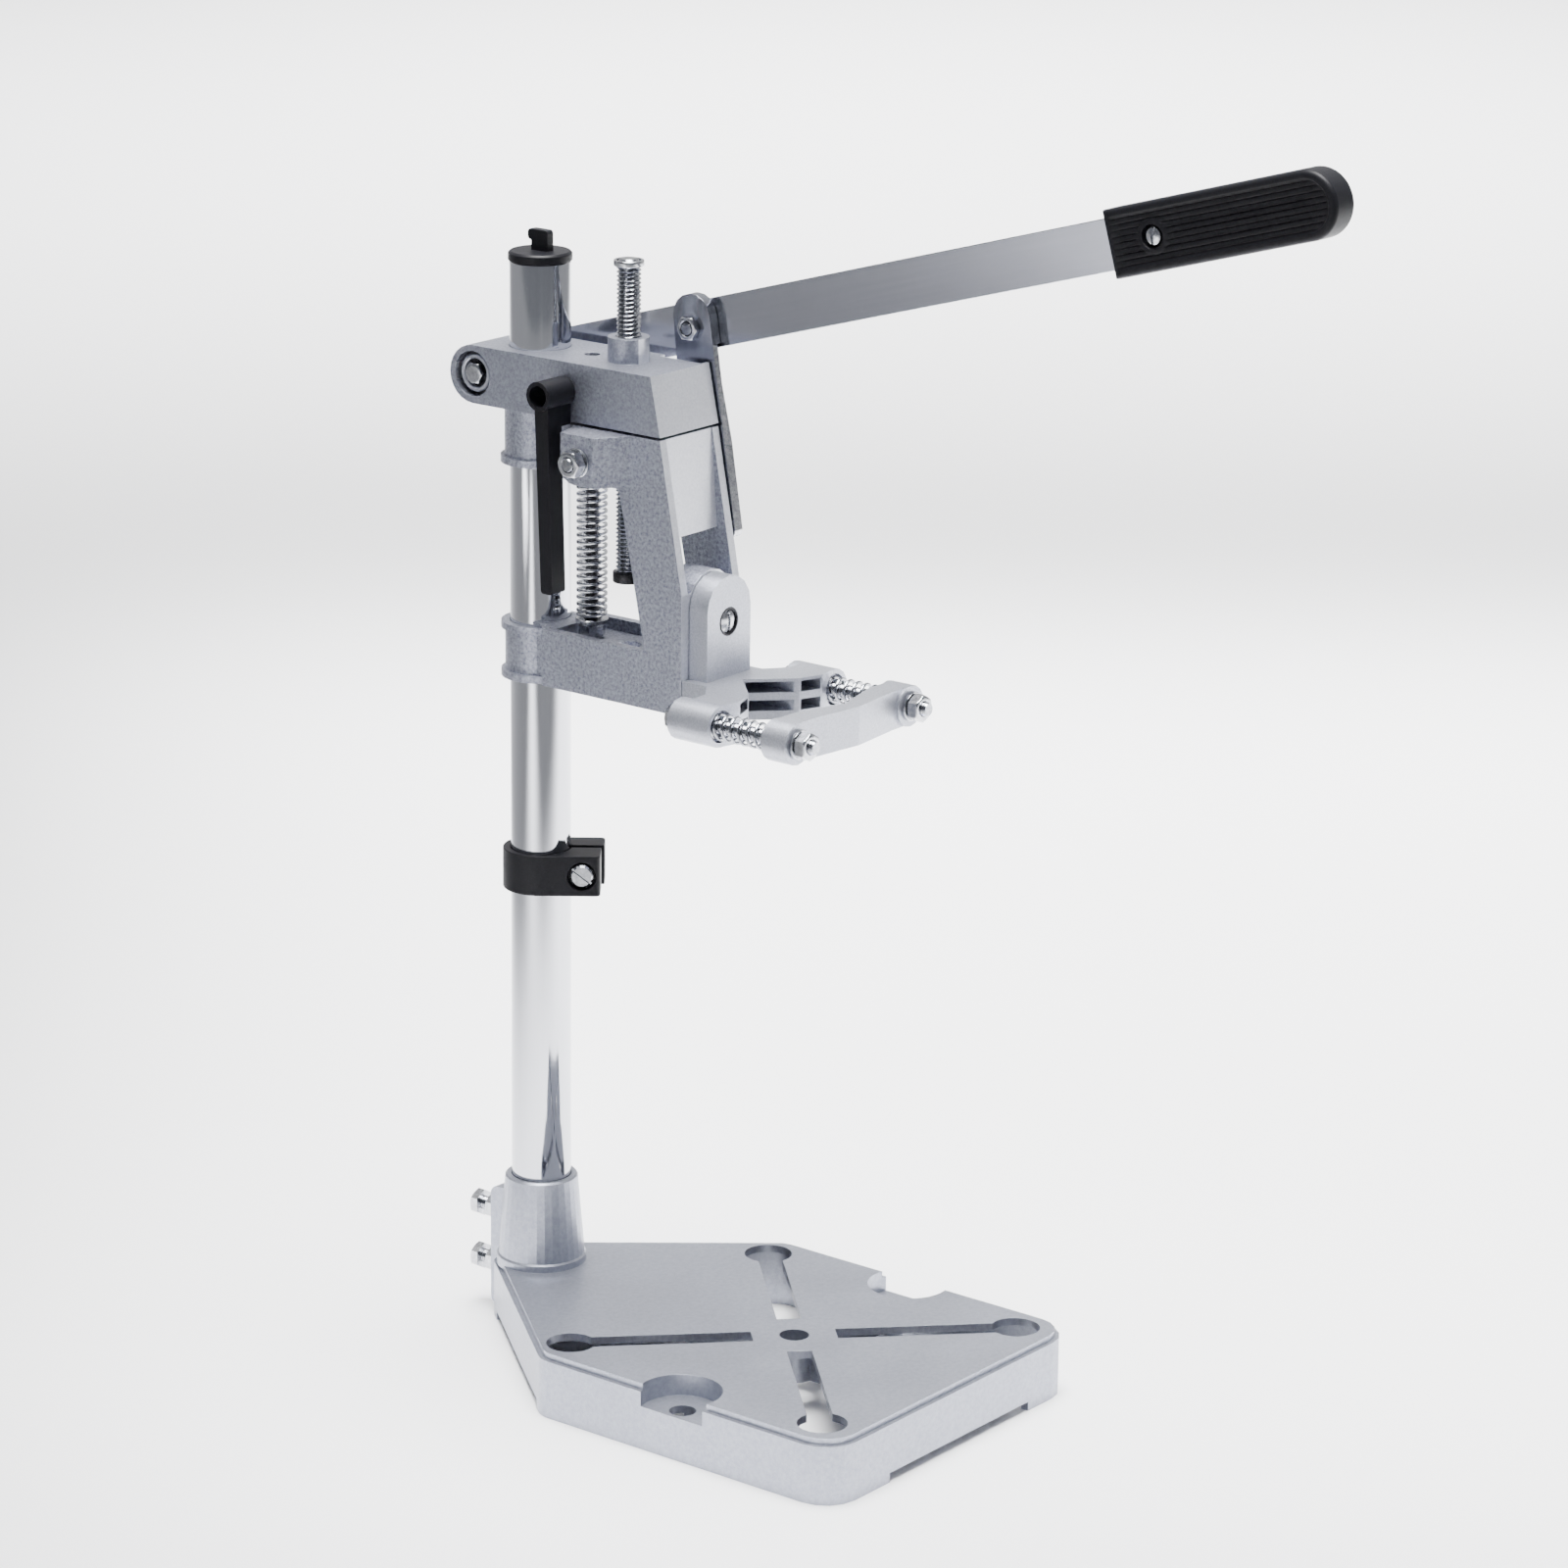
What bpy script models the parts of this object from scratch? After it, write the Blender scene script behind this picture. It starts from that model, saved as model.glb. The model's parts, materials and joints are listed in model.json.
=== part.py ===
"""Bench drill stand: a cast base with a column, a clamped head with a feed lever, and a sprung
carriage with a tilting two-jaw clamp for the neck of a hand drill.

Metres, +Z up. The origin is on the column's axis at the table. The front of the stand looks to -Y,
and the feed lever is on the +X side.
"""
import math

import bmesh
import bpy
from mathutils import Matrix, Vector

# Clearances and finish
GAP = 0.0003
OVERRUN = 0.002
WELD = 0.00001
SHARP_ANGLE = math.radians(35)
ROD_SEGMENTS = 12
RING_SEGMENTS = 16
TUBE_SEGMENTS = 32
CORNER_STEPS = 4

# Fasteners shared by the whole stand
BOLT_RADIUS = 0.003
BOLT_HEX = 0.010
BOLT_HEAD_HEIGHT = 0.004
NUT_HEIGHT = 0.005
WASHER_RADIUS = 0.006
WASHER_HEIGHT = 0.0012

# Column and its cap
COLUMN_RADIUS = 0.0125
COLUMN_WALL = 0.0015
COLUMN_LENGTH = 0.451
CAP_FLANGE_RADIUS = 0.0131
CAP_FLANGE_HEIGHT = 0.0038
CAP_PLUG_DEPTH = 0.012
CAP_NECK_HEIGHT = 0.0042
CAP_HOOK_HEIGHT = 0.0044
CAP_NECK_FRONT = 0.0054
CAP_NECK_REAR = 0.0032
CAP_HOOK_REAR = 0.0050
CAP_HOOK_HALF_WIDTH = 0.0020

# Base plate
PLATE_HEIGHT = 0.0275
PLATE_HALF_WIDTH = 0.0815
PLATE_FRONT_REACH = 0.2195
PLATE_REAR_REACH = 0.0190
KEYHOLE_TO_CHAMFER = 0.0025
PLATE_TAIL_HALF_WIDTH = 0.0095
PLATE_FRONT_CORNER_RADIUS = 0.015
PLATE_SIDE_CORNER_RADIUS = 0.012
PLATE_TAIL_CORNER_RADIUS = 0.005
PLATE_SKIN = 0.0033
PLATE_RIM_WALL = 0.0035
LEDGE_INSET = 0.0020
LEDGE_DROP = 0.0027
ARCH_HEIGHT = 0.0040
ARCH_LEFT = 0.044
ARCH_RIGHT = 0.050
CHAMFER_ARCH_MARGIN = 0.008
TAIL_SOLID_FRONT = 0.002
TAIL_SOLID_HALF_WIDTH = 0.030
KEYHOLE_TO_FRONT = 0.018
CENTRE_HOLE_RADIUS = 0.0062
CENTRE_BOSS_RADIUS = 0.010
RIB_THICKNESS = 0.003
RIB_DEPTH = 0.014
SLOT_WIDTH = 0.0103
SLOT_START = 0.0175
KEYHOLE_RADIUS = 0.0102
KEYHOLE_TO_SIDE = 0.0165
POCKET_RADIUS = 0.017
POCKET_TO_SIDE = 0.006
POCKET_SHIFT = 0.0015
POCKET_FLOOR_HEIGHT = 0.0185
BENCH_HOLE_RADIUS = 0.0055
BENCH_HOLE_TO_SIDE = 0.0073

# Column socket on the base
SOCKET_TOP = 0.0662
SOCKET_TOP_RADIUS = 0.0154
SOCKET_ROOT_RADIUS = 0.0183
SOCKET_BEAD_RADIUS = 0.0190
SOCKET_BEAD_HEIGHT = 0.0035
SOCKET_RIM_CHAMFER = 0.0008
SOCKET_FLOOR = 0.0060
FOOT_RADIUS = 0.0140
PAD_HALF_WIDTH = 0.007
PAD_REACH = 0.0225
PAD_BOTTOM = 0.004
PAD_TOP = 0.057
PAD_CORNER_RADIUS = 0.004
SET_SCREW_HEIGHTS = (0.0202, 0.0445)
SET_SCREW_REACH = 0.036

# Depth stop collar on the column
COLLAR_BOTTOM = 0.1933
COLLAR_HEIGHT = 0.0172
COLLAR_RADIUS = 0.0159
COLLAR_TURN = math.radians(-52)
COLLAR_SLIT = 0.0034
COLLAR_NEAR_EAR_REACH = 0.0252
COLLAR_FAR_EAR_REACH = 0.0264
COLLAR_FAR_EAR_THICKNESS = 0.0113
COLLAR_EAR_CORNER_RADIUS = 0.002
COLLAR_SCREW_REACH = 0.0175
COLLAR_SCREW_RADIUS = 0.002
COLLAR_SCREW_HEAD_RADIUS = 0.005
COLLAR_RECESS_RADIUS = 0.006
COLLAR_RECESS_DEPTH = 0.003
COLLAR_NUT_HEX = 0.008
COLLAR_NUT_HEIGHT = 0.003

# Head block clamped on the column
HEAD_HALF_WIDTH = 0.0185
HEAD_BOTTOM = 0.3985
HEAD_HEIGHT = 0.024
HEAD_FRONT_REACH = 0.078
HEAD_TOP_FRONT_REACH = 0.0729
HANDLE_PIVOT_REACH = 0.0204
HANDLE_PIVOT_RISE = 0.0122
ROD_BOSS_RADIUS = 0.0085
ROD_BOSS_HEIGHT = 0.010
DEPTH_ROD_REACH = 0.0465
SPRING_ROD_REACH = 0.0275
CLAMP_REACH = 0.029
CLAMP_RISE = 0.0125
CLAMP_STUD_DEPTH = 0.0115
CHEEK_THICKNESS = 0.0065
CHEEK_SLOT_WIDTH = 0.0015
CHEEK_SLOT_RISE = 0.0195
CHEEK_SLOT_FRONT = 0.040
CHEEK_SLOT_REAR = 0.008
PIVOT_RECESS_RADIUS = 0.0095
PIVOT_RECESS_DEPTH = 0.0047
LINK_SIDE_RECESS = 0.0035
LINK_SIDE_RECESS_START = 0.050
LINK_SIDE_RECESS_END = 0.0716

# Clamp lever
CLAMP_HUB_RADIUS = 0.006
CLAMP_HUB_INNER_X = -0.0192
CLAMP_HUB_OUTER_X = -0.0355
CLAMP_ARM_INNER_X = -0.0254
CLAMP_ARM_OUTER_X = -0.0336
CLAMP_ARM_HALF_WIDTH = 0.0035
CLAMP_ARM_TIP_HALF_WIDTH = 0.0030
CLAMP_ARM_LENGTH = 0.081
CLAMP_ARM_LEAN = 0.0029
CLAMP_WEB_LENGTH = 0.0132
CLAMP_HUB_RECESS_RADIUS = 0.0044
CLAMP_HUB_RECESS_DEPTH = 0.0105
CLAMP_STUD_HEAD = 0.0020

# Carriage sliding on the column
CARRIAGE_HALF_WIDTH = 0.0185
CARRIAGE_WALL = 0.004
CARRIAGE_HEIGHT = 0.1110
HEAD_TO_CARRIAGE = 0.0012
CARRIAGE_TOP_REACH = 0.0779
CARRIAGE_FACE_REACH = 0.0895
PANEL_TOP_SETBACK = 0.0004
PANEL_FOOT_REACH = 0.0808
PANEL_THICKNESS = 0.003
HOOD_WALL = 0.003
HOOD_DEPTH = 0.0135
CARRIAGE_FACE_HEIGHT = 0.0497
WINDOW_TOP_RISE = 0.0883
WINDOW_BOTTOM_RISE = 0.0237
WINDOW_REAR_REACH = 0.0135
WINDOW_UPPER_REACH = 0.057
WINDOW_LOWER_REACH = 0.0705
WINDOW_CORNER_RADIUS = 0.002
CARRIAGE_REAR_REACH = 0.006
NECK_HALF_WIDTH = 0.012
NECK_FRONT_REACH = 0.0165
LOWER_FLOOR_RISE = 0.0187
FRONT_OPENING_BOTTOM_RISE = 0.0497
FRONT_OPENING_TOP_RISE = 0.0707
SLEEVE_RADIUS = 0.0146
SLEEVE_LIP_RADIUS = 0.0163
SLEEVE_LIP_HEIGHT = 0.003
LOWER_SLEEVE_DROP = 0.0017
LOWER_SLEEVE_RISE = 0.0217
EAR_REACH_X = 0.031
EAR_FRONT_ROOT = 0.064
EAR_FRONT_TIP = 0.054
EAR_REAR_TIP = 0.037
EAR_REAR_ROOT = 0.033
EAR_BOTTOM_RISE = 0.0902
EAR_TOP_RISE = 0.1107
EAR_CORNER_RADIUS = 0.007
EAR_BOLT_REACH = 0.0465
EAR_BOLT_RISE = 0.0999
EAR_BOLT_OUT = 0.0025
LOWER_PIVOT_REACH = 0.0704
LOWER_PIVOT_RISE = 0.0757

# Return spring and its rod
SPRING_ROD_FOOT_RISE = 0.0191
SPRING_ROD_RISE = 0.023
SPRING_NUT_HEIGHT = 0.0052
SPRING_WASHER_HEIGHT = 0.0020
SPRING_WASHER_RADIUS = 0.0068
SPRING_COIL_RADIUS = 0.0059
SPRING_WIRE = 0.0012
SPRING_CURLS = 23
CURL_POINTS = 8

# Depth rod through the boss
DEPTH_ROD_RADIUS = 0.0051
DEPTH_ROD_FOOT_RISE = 0.0447
DEPTH_ROD_RISE = 0.0655
DEPTH_RING_RADIUS = 0.0062
DEPTH_RING_HEIGHT = 0.0045
DEPTH_TOP_RING_HEIGHT = 0.0025
DEPTH_RING_INSET = 0.0005
DEPTH_TOP_RING_INSET = 0.0005

# Feed lever, its grips and the link to the carriage
HANDLE_SLOPE = math.radians(16.3)
HANDLE_PIVOT_TO_LINK = 0.0865
HANDLE_INNER_X = 0.0246
HANDLE_THICKNESS = 0.004
HANDLE_BAR_WIDTH = 0.020
GRIP_START = 0.294
GRIP_END = 0.4034
GRIP_WIDTH = 0.026
GRIP_HALF_THICKNESS = 0.0065
GRIP_NOSE_RADIUS = 0.0125
GRIP_TAIL_RADIUS = 0.003
GRIP_SCREW_REACH = 0.3165
GRIP_SCREW_HEAD_RADIUS = 0.0035
GRIP_RECESS_RADIUS = 0.005
GRIP_RECESS_DEPTH = 0.003
GRIP_TIP_PAST_BAR = 0.0114
LINK_INNER_X = 0.0193
LINK_OUTER_X = 0.0243
LINK_SHEET = 0.0016
LINK_LEAN = math.radians(6.07)
LINK_PIVOTS = 0.0734
LINK_TOP_REACH = 0.0137
LINK_BOTTOM_REACH = 0.0115
LINK_WEB_TOP_REACH = 0.0096
LINK_WEB_BOTTOM_REACH = 0.0152
LINK_REAR_REACH = 0.0086
LINK_TOP_CORNER_RADIUS = 0.0088
LINK_CORNER_RADIUS = 0.003
LINK_NOTCH_X = 0.0224
LINK_NOTCH_START = 0.0065
LINK_NOTCH_END = 0.051
LINK_NUT_HEIGHT = 0.0027
LINK_NUT_HEX = 0.009
LOOP_SLOT_HALF_LENGTH = 0.0048

# Tilting tool head with the rear jaw
TILT_RISE = 0.0374
TAB_HALF_WIDTH = 0.01375
TAB_ROUND_RISE = 0.0426
TAB_THICKNESS = 0.0092
TAB_RECESS_RADIUS = 0.006
TAB_RECESS_DEPTH = 0.003
TILT_SCREW_HEAD_RADIUS = 0.0048
JAW_DROP = 0.0023
JAW_HEIGHT = 0.017
JAW_SHOULDER_HALF_WIDTH = 0.018
JAW_SHOULDER_DEPTH = 0.0125
JAW_ARM_HALF_WIDTH = 0.027
JAW_ARM_DEPTH = 0.0195
JAW_APEX_DEPTH = 0.0166
JAW_NOTCH_HALF_WIDTH = 0.016
JAW_TIP_HALF_WIDTH = 0.027
JAW_TIP_DEPTH = 0.0365
JAW_EAR_OFFSET = 0.0365
JAW_EAR_RADIUS = 0.0085
JAW_EAR_REAR_DEPTH = 0.0145
JAW_EAR_FRONT_DEPTH = 0.035
JAW_POCKET_WALL = 0.0028
JAW_POCKET_HEIGHT = 0.0045
JAW_SKIN = 0.0013
JAW_WEB = 0.0031
JAW_APEX_HALF_RIB = 0.0009
JAW_HALF_RIB = 0.0011
JAW_SPRING_SEAT_RADIUS = 0.0066
JAW_SPRING_SEAT_DEPTH = 0.003
JAW_SPRING_COIL_RADIUS = 0.0049
JAW_SPRING_WIRE = 0.0013
JAW_SPRING_CURLS = 7

# Front jaw
FRONT_JAW_DEPTH = 0.0615
FRONT_JAW_EAR_THICKNESS = 0.012
FRONT_JAW_HEIGHT = 0.016
FRONT_JAW_BULGE = 0.002
FRONT_JAW_SHOULDER_STEP = 0.001
FRONT_JAW_SHOULDER_HALF_WIDTH = 0.026
FRONT_JAW_WEB = 0.005
FRONT_JAW_NOTCH_HALF_WIDTH = 0.024
JAW_BOLT_OUT = 0.009

# Colour, roughness and metallic value of each finish
CAST_ALUMINIUM = ((0.50, 0.52, 0.57, 1), 0.42, 0.85)
SMOOTH_ALUMINIUM = ((0.60, 0.61, 0.66, 1), 0.32, 0.9)
CHROME = ((0.75, 0.76, 0.78, 1), 0.08, 1.0)
ZINC = ((0.62, 0.63, 0.66, 1), 0.25, 1.0)
DARK_STEEL = ((0.12, 0.12, 0.13, 1), 0.35, 0.9)
BLACK_PLASTIC = ((0.012, 0.012, 0.015, 1), 0.4, 0.0)

# Places that follow from the sizes
KEYHOLE_REACH = PLATE_HALF_WIDTH - KEYHOLE_TO_SIDE
TABLE_CENTRE_REACH = PLATE_FRONT_REACH - KEYHOLE_REACH - KEYHOLE_TO_FRONT
PLATE_SIDE_END = TABLE_CENTRE_REACH - KEYHOLE_REACH - KEYHOLE_TO_CHAMFER
POCKET_OFFSET = PLATE_HALF_WIDTH - POCKET_TO_SIDE
POCKET_REACH = TABLE_CENTRE_REACH + POCKET_SHIFT
BENCH_HOLE_OFFSET = PLATE_HALF_WIDTH - BENCH_HOLE_TO_SIDE
CARRIAGE_BOTTOM = HEAD_BOTTOM - HEAD_TO_CARRIAGE - CARRIAGE_HEIGHT
HANDLE_PIVOT_HEIGHT = HEAD_BOTTOM + HANDLE_PIVOT_RISE
CLAMP_HEIGHT = HEAD_BOTTOM + CLAMP_RISE
CHEEK_SLOT_TOP = HEAD_BOTTOM + CHEEK_SLOT_RISE
SPRING_ROD_TOP = HEAD_BOTTOM + SPRING_ROD_RISE
DEPTH_ROD_TOP = HEAD_BOTTOM + DEPTH_ROD_RISE
CARRIAGE_TOP = CARRIAGE_BOTTOM + CARRIAGE_HEIGHT
CARRIAGE_FACE_TOP = CARRIAGE_BOTTOM + CARRIAGE_FACE_HEIGHT
WINDOW_TOP = CARRIAGE_BOTTOM + WINDOW_TOP_RISE
WINDOW_BOTTOM = CARRIAGE_BOTTOM + WINDOW_BOTTOM_RISE
LOWER_FLOOR_TOP = CARRIAGE_BOTTOM + LOWER_FLOOR_RISE
FRONT_OPENING_BOTTOM = CARRIAGE_BOTTOM + FRONT_OPENING_BOTTOM_RISE
FRONT_OPENING_TOP = CARRIAGE_BOTTOM + FRONT_OPENING_TOP_RISE
LOWER_SLEEVE_TOP = CARRIAGE_BOTTOM + LOWER_SLEEVE_RISE
EAR_BOTTOM = CARRIAGE_BOTTOM + EAR_BOTTOM_RISE
EAR_TOP = CARRIAGE_BOTTOM + EAR_TOP_RISE
EAR_BOLT_HEIGHT = CARRIAGE_BOTTOM + EAR_BOLT_RISE
LOWER_PIVOT_HEIGHT = CARRIAGE_BOTTOM + LOWER_PIVOT_RISE
SPRING_ROD_BOTTOM = CARRIAGE_BOTTOM + SPRING_ROD_FOOT_RISE
DEPTH_ROD_BOTTOM = CARRIAGE_BOTTOM + DEPTH_ROD_FOOT_RISE
TILT_HEIGHT = CARRIAGE_BOTTOM + TILT_RISE
TAB_ROUND_HEIGHT = CARRIAGE_BOTTOM + TAB_ROUND_RISE
LOWER_SLEEVE_BOTTOM = CARRIAGE_BOTTOM - LOWER_SLEEVE_DROP
JAW_BOTTOM = CARRIAGE_BOTTOM - JAW_DROP
CLAMP_ARM_END_HEIGHT = CLAMP_HEIGHT - CLAMP_ARM_LENGTH
JAW_SHOULDER_REACH = CARRIAGE_FACE_REACH + JAW_SHOULDER_DEPTH
JAW_ARM_REACH = CARRIAGE_FACE_REACH + JAW_ARM_DEPTH
JAW_APEX_REACH = CARRIAGE_FACE_REACH + JAW_APEX_DEPTH
JAW_TIP_REACH = CARRIAGE_FACE_REACH + JAW_TIP_DEPTH
JAW_EAR_REAR = CARRIAGE_FACE_REACH + JAW_EAR_REAR_DEPTH
JAW_EAR_FRONT = CARRIAGE_FACE_REACH + JAW_EAR_FRONT_DEPTH
FRONT_JAW_REAR = CARRIAGE_FACE_REACH + FRONT_JAW_DEPTH
FRONT_JAW_EAR_FRONT = FRONT_JAW_REAR + FRONT_JAW_EAR_THICKNESS
FRONT_JAW_BULGE_REACH = FRONT_JAW_EAR_FRONT + FRONT_JAW_BULGE
FRONT_JAW_SHOULDER_REACH = FRONT_JAW_EAR_FRONT - FRONT_JAW_SHOULDER_STEP
FRONT_JAW_APEX_REACH = FRONT_JAW_EAR_FRONT - FRONT_JAW_WEB
JAW_BOLT_END = FRONT_JAW_EAR_FRONT + JAW_BOLT_OUT
COLUMN_BOTTOM = SOCKET_FLOOR + GAP
COLUMN_TOP = COLUMN_BOTTOM + COLUMN_LENGTH
BORE_RADIUS = COLUMN_RADIUS + GAP
BOLT_HOLE = BOLT_RADIUS + GAP
HEAD_TOP = HEAD_BOTTOM + HEAD_HEIGHT
JAW_TOP = JAW_BOTTOM + JAW_HEIGHT
JAW_MIDDLE = JAW_BOTTOM + JAW_EAR_RADIUS
JAW_ARM_END = JAW_EAR_OFFSET - BOLT_RADIUS / 3
HANDLE_PIVOT = Vector((0, HANDLE_PIVOT_REACH, HANDLE_PIVOT_HEIGHT))
HANDLE_DIRECTION = Vector((0, -math.cos(HANDLE_SLOPE), math.sin(HANDLE_SLOPE)))
HANDLE_UP = Vector((0, math.sin(HANDLE_SLOPE), math.cos(HANDLE_SLOPE)))
LINK_PIVOT = HANDLE_PIVOT + HANDLE_DIRECTION * HANDLE_PIVOT_TO_LINK
LINK_DOWN = Vector((0, -math.sin(LINK_LEAN), -math.cos(LINK_LEAN)))
LINK_BACK = Vector((0, math.cos(LINK_LEAN), -math.sin(LINK_LEAN)))
HANDLE_OUTER_X = HANDLE_INNER_X + HANDLE_THICKNESS
BAR_IN_GRIP_REACH = GRIP_END - GRIP_TIP_PAST_BAR
TAB_BACK = CARRIAGE_FACE_REACH + GAP
TAB_FRONT = TAB_BACK + TAB_THICKNESS

AXES = {"X": Vector((1, 0, 0)), "Y": Vector((0, 1, 0)), "Z": Vector((0, 0, 1))}
DRAWN_IN = {
    "X": Matrix(((0, 0, 1), (1, 0, 0), (0, 1, 0))),
    "Y": Matrix(((1, 0, 0), (0, 0, -1), (0, 1, 0))),
    "Z": Matrix.Identity(3),
}


# Scene, collections and materials

def start_scene():
    """Empty the scene and make one collection for the pieces and one for the cutters."""
    for item in list(bpy.data.objects):
        bpy.data.objects.remove(item)
    pieces = bpy.data.collections.new("drill_stand")
    tools = bpy.data.collections.new("cutters")
    for collection in (pieces, tools):
        bpy.context.scene.collection.children.link(collection)
    return pieces, tools


PIECES, TOOLS = start_scene()


def finish(piece, look, carrier):
    """Give a piece its material and hang it on the empty that carries it."""
    colour, roughness, metallic = look
    material = bpy.data.materials.new(piece.name)
    material.use_nodes = True
    shader = material.node_tree.nodes["Principled BSDF"]
    shader.inputs["Base Color"].default_value = colour
    shader.inputs["Roughness"].default_value = roughness
    shader.inputs["Metallic"].default_value = metallic
    material.diffuse_color = colour
    piece.data.materials.append(material)
    piece.data.shade_smooth()
    piece.data.set_sharp_from_angle(angle=SHARP_ANGLE)
    hang(piece, carrier)
    return piece


def joint_empty(name, position, carrier=None):
    """Empty on a joint's axis, at a place given in the world."""
    empty = bpy.data.objects.new(name, None)
    PIECES.objects.link(empty)
    empty.location = position
    empty["world_place"] = tuple(position)
    if carrier:
        empty.parent = carrier
        empty.location = Vector(position) - Vector(carrier["world_place"])
    return empty


def hang(piece, carrier):
    """Parent a piece to an empty and keep it where it is."""
    if carrier:
        piece.parent = carrier
        piece.matrix_parent_inverse = Matrix.Translation(-Vector(carrier["world_place"]))


# Shapes

def add_mesh(name, mesh_data, matrix):
    """Object made from an edited mesh, which is freed."""
    mesh = bpy.data.meshes.new(name)
    mesh_data.to_mesh(mesh)
    mesh_data.free()
    piece = bpy.data.objects.new(name, mesh)
    piece.matrix_world = matrix
    PIECES.objects.link(piece)
    return piece


def aimed(start, end):
    """Placing that takes local +Z from the start point to the end point, centred between them."""
    start, end = Vector(start), Vector(end)
    turn = AXES["Z"].rotation_difference(end - start).to_matrix().to_4x4()
    return Matrix.Translation((start + end) / 2) @ turn


def rod(name, radius, start, end, segments=ROD_SEGMENTS, end_radius=None):
    """Cylinder, or a cone where its two radii differ."""
    length = (Vector(end) - Vector(start)).length
    shape = bmesh.new()
    bmesh.ops.create_cone(shape, cap_ends=True, segments=segments, radius1=radius,
                          radius2=radius if end_radius is None else end_radius, depth=length)
    return add_mesh(name, shape, aimed(start, end))


def hex_prism(name, flats, start, end):
    """Six-sided prism with a width over its flats."""
    return rod(name, flats / math.sqrt(3), start, end, segments=6)


def box(name, low, high):
    """Block between two opposite corners."""
    low, high = Vector(low), Vector(high)
    shape = bmesh.new()
    bmesh.ops.create_cube(shape, size=1)
    bmesh.ops.scale(shape, vec=high - low, verts=shape.verts)
    return add_mesh(name, shape, Matrix.Translation((low + high) / 2))


def turned(name, profile, foot, direction, segments=RING_SEGMENTS, closed=False):
    """Round piece: a profile of (radius, height), outer side from top to bottom, and a Screw."""
    shape = bmesh.new()
    corners = [shape.verts.new((radius, 0, height)) for radius, height in profile]
    pairs = list(zip(corners, corners[1:]))
    if closed:
        pairs.append((corners[-1], corners[0]))
    for pair in pairs:
        shape.edges.new(pair)
    turn = AXES["Z"].rotation_difference(Vector(direction)).to_matrix().to_4x4()
    piece = add_mesh(name, shape, Matrix.Translation(Vector(foot)) @ turn)
    screw = piece.modifiers.new("Screw", "SCREW")
    screw.steps = segments
    screw.render_steps = segments
    screw.use_merge_vertices = True
    screw.merge_threshold = WELD
    return piece


def fillet(corners, steps=CORNER_STEPS):
    """Closed outline whose corners (u, v, radius) become arcs that touch both sides."""
    points = []
    for index, (u, v, radius) in enumerate(corners):
        here = Vector((u, v))
        if radius == 0:
            points.append((u, v))
            continue
        before = (Vector(corners[index - 1][:2]) - here).normalized()
        after = (Vector(corners[(index + 1) % len(corners)][:2]) - here).normalized()
        half = before.angle(after) / 2
        centre = here + (before + after).normalized() * radius / math.sin(half)
        first = here + before * radius / math.tan(half) - centre
        last = here + after * radius / math.tan(half) - centre
        sweep = first.angle_signed(last)
        for step in range(steps + 1):
            spoke = first.copy()
            spoke.rotate(Matrix.Rotation(-sweep * step / steps, 2))
            points.append(tuple(centre + spoke))
    return points


def inset(corners, distance):
    """Same outline with every side moved inwards, for corners that run anticlockwise."""
    sides = []
    for index, corner in enumerate(corners):
        start, end = Vector(corner[:2]), Vector(corners[(index + 1) % len(corners)][:2])
        along = (end - start).normalized()
        sides.append((start + Vector((-along.y, along.x)) * distance, along))
    moved = []
    for index, corner in enumerate(corners):
        (start, along), (point, other) = sides[index - 1], sides[index]
        reach = (point - start).cross(other) / along.cross(other)
        place = start + along * reach
        moved.append((place.x, place.y, max(corner[2] - distance, 0)))
    return moved


def arc(centre, radius, first, last, steps):
    """Points on an arc between two angles, both ends included."""
    return [(centre[0] + radius * math.cos(first + (last - first) * step / steps),
             centre[1] + radius * math.sin(first + (last - first) * step / steps))
            for step in range(steps + 1)]


def outline(name, contours, axis, low, high):
    """Flat outline, with holes where contours lie inside, from low to high along an axis.

    The outline is drawn in (Y, Z) for X, in (X, Z) for Y and in (X, Y) for Z.
    """
    curve = bpy.data.curves.new(name, "CURVE")
    curve.dimensions = "2D"
    curve.fill_mode = "BOTH"
    curve.extrude = (high - low) / 2
    for contour in contours:
        spline = curve.splines.new("POLY")
        spline.points.add(len(contour) - 1)
        for point, place in zip(spline.points, contour):
            point.co = (place[0], place[1], 0, 1)
        spline.use_cyclic_u = True
    guide = bpy.data.objects.new(name, curve)
    guide.matrix_world = (Matrix.Translation(AXES[axis] * (low + high) / 2)
                          @ DRAWN_IN[axis].to_4x4())
    PIECES.objects.link(guide)
    piece = as_mesh(guide)
    piece.name = name
    return piece


def as_mesh(guide):
    """Mesh object in a curve's place, with its loose caps welded on; the curve is removed."""
    bpy.context.view_layer.update()
    evaluated = guide.evaluated_get(bpy.context.evaluated_depsgraph_get())
    mesh = bpy.data.meshes.new_from_object(evaluated)
    shape = bmesh.new()
    shape.from_mesh(mesh)
    bmesh.ops.remove_doubles(shape, verts=shape.verts, dist=WELD)
    bmesh.ops.recalc_face_normals(shape, faces=shape.faces)
    name, matrix = guide.name, guide.matrix_world.copy()
    bpy.data.objects.remove(guide)
    bpy.data.meshes.remove(mesh)
    return add_mesh(name, shape, matrix)


def combine(piece, operation, tools):
    """Boolean modifiers on a piece; the tools go to their own collection."""
    for tool in tools:
        modifier = piece.modifiers.new(tool.name, "BOOLEAN")
        modifier.operation = operation
        modifier.solver = "EXACT"
        modifier.object = tool
        tool.hide_render = True
        tool.display_type = "WIRE"
        PIECES.objects.unlink(tool)
        TOOLS.objects.link(tool)
    return piece


def join(piece, *tools):
    return combine(piece, "UNION", tools)


def cut(piece, *tools):
    return combine(piece, "DIFFERENCE", tools)


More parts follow.
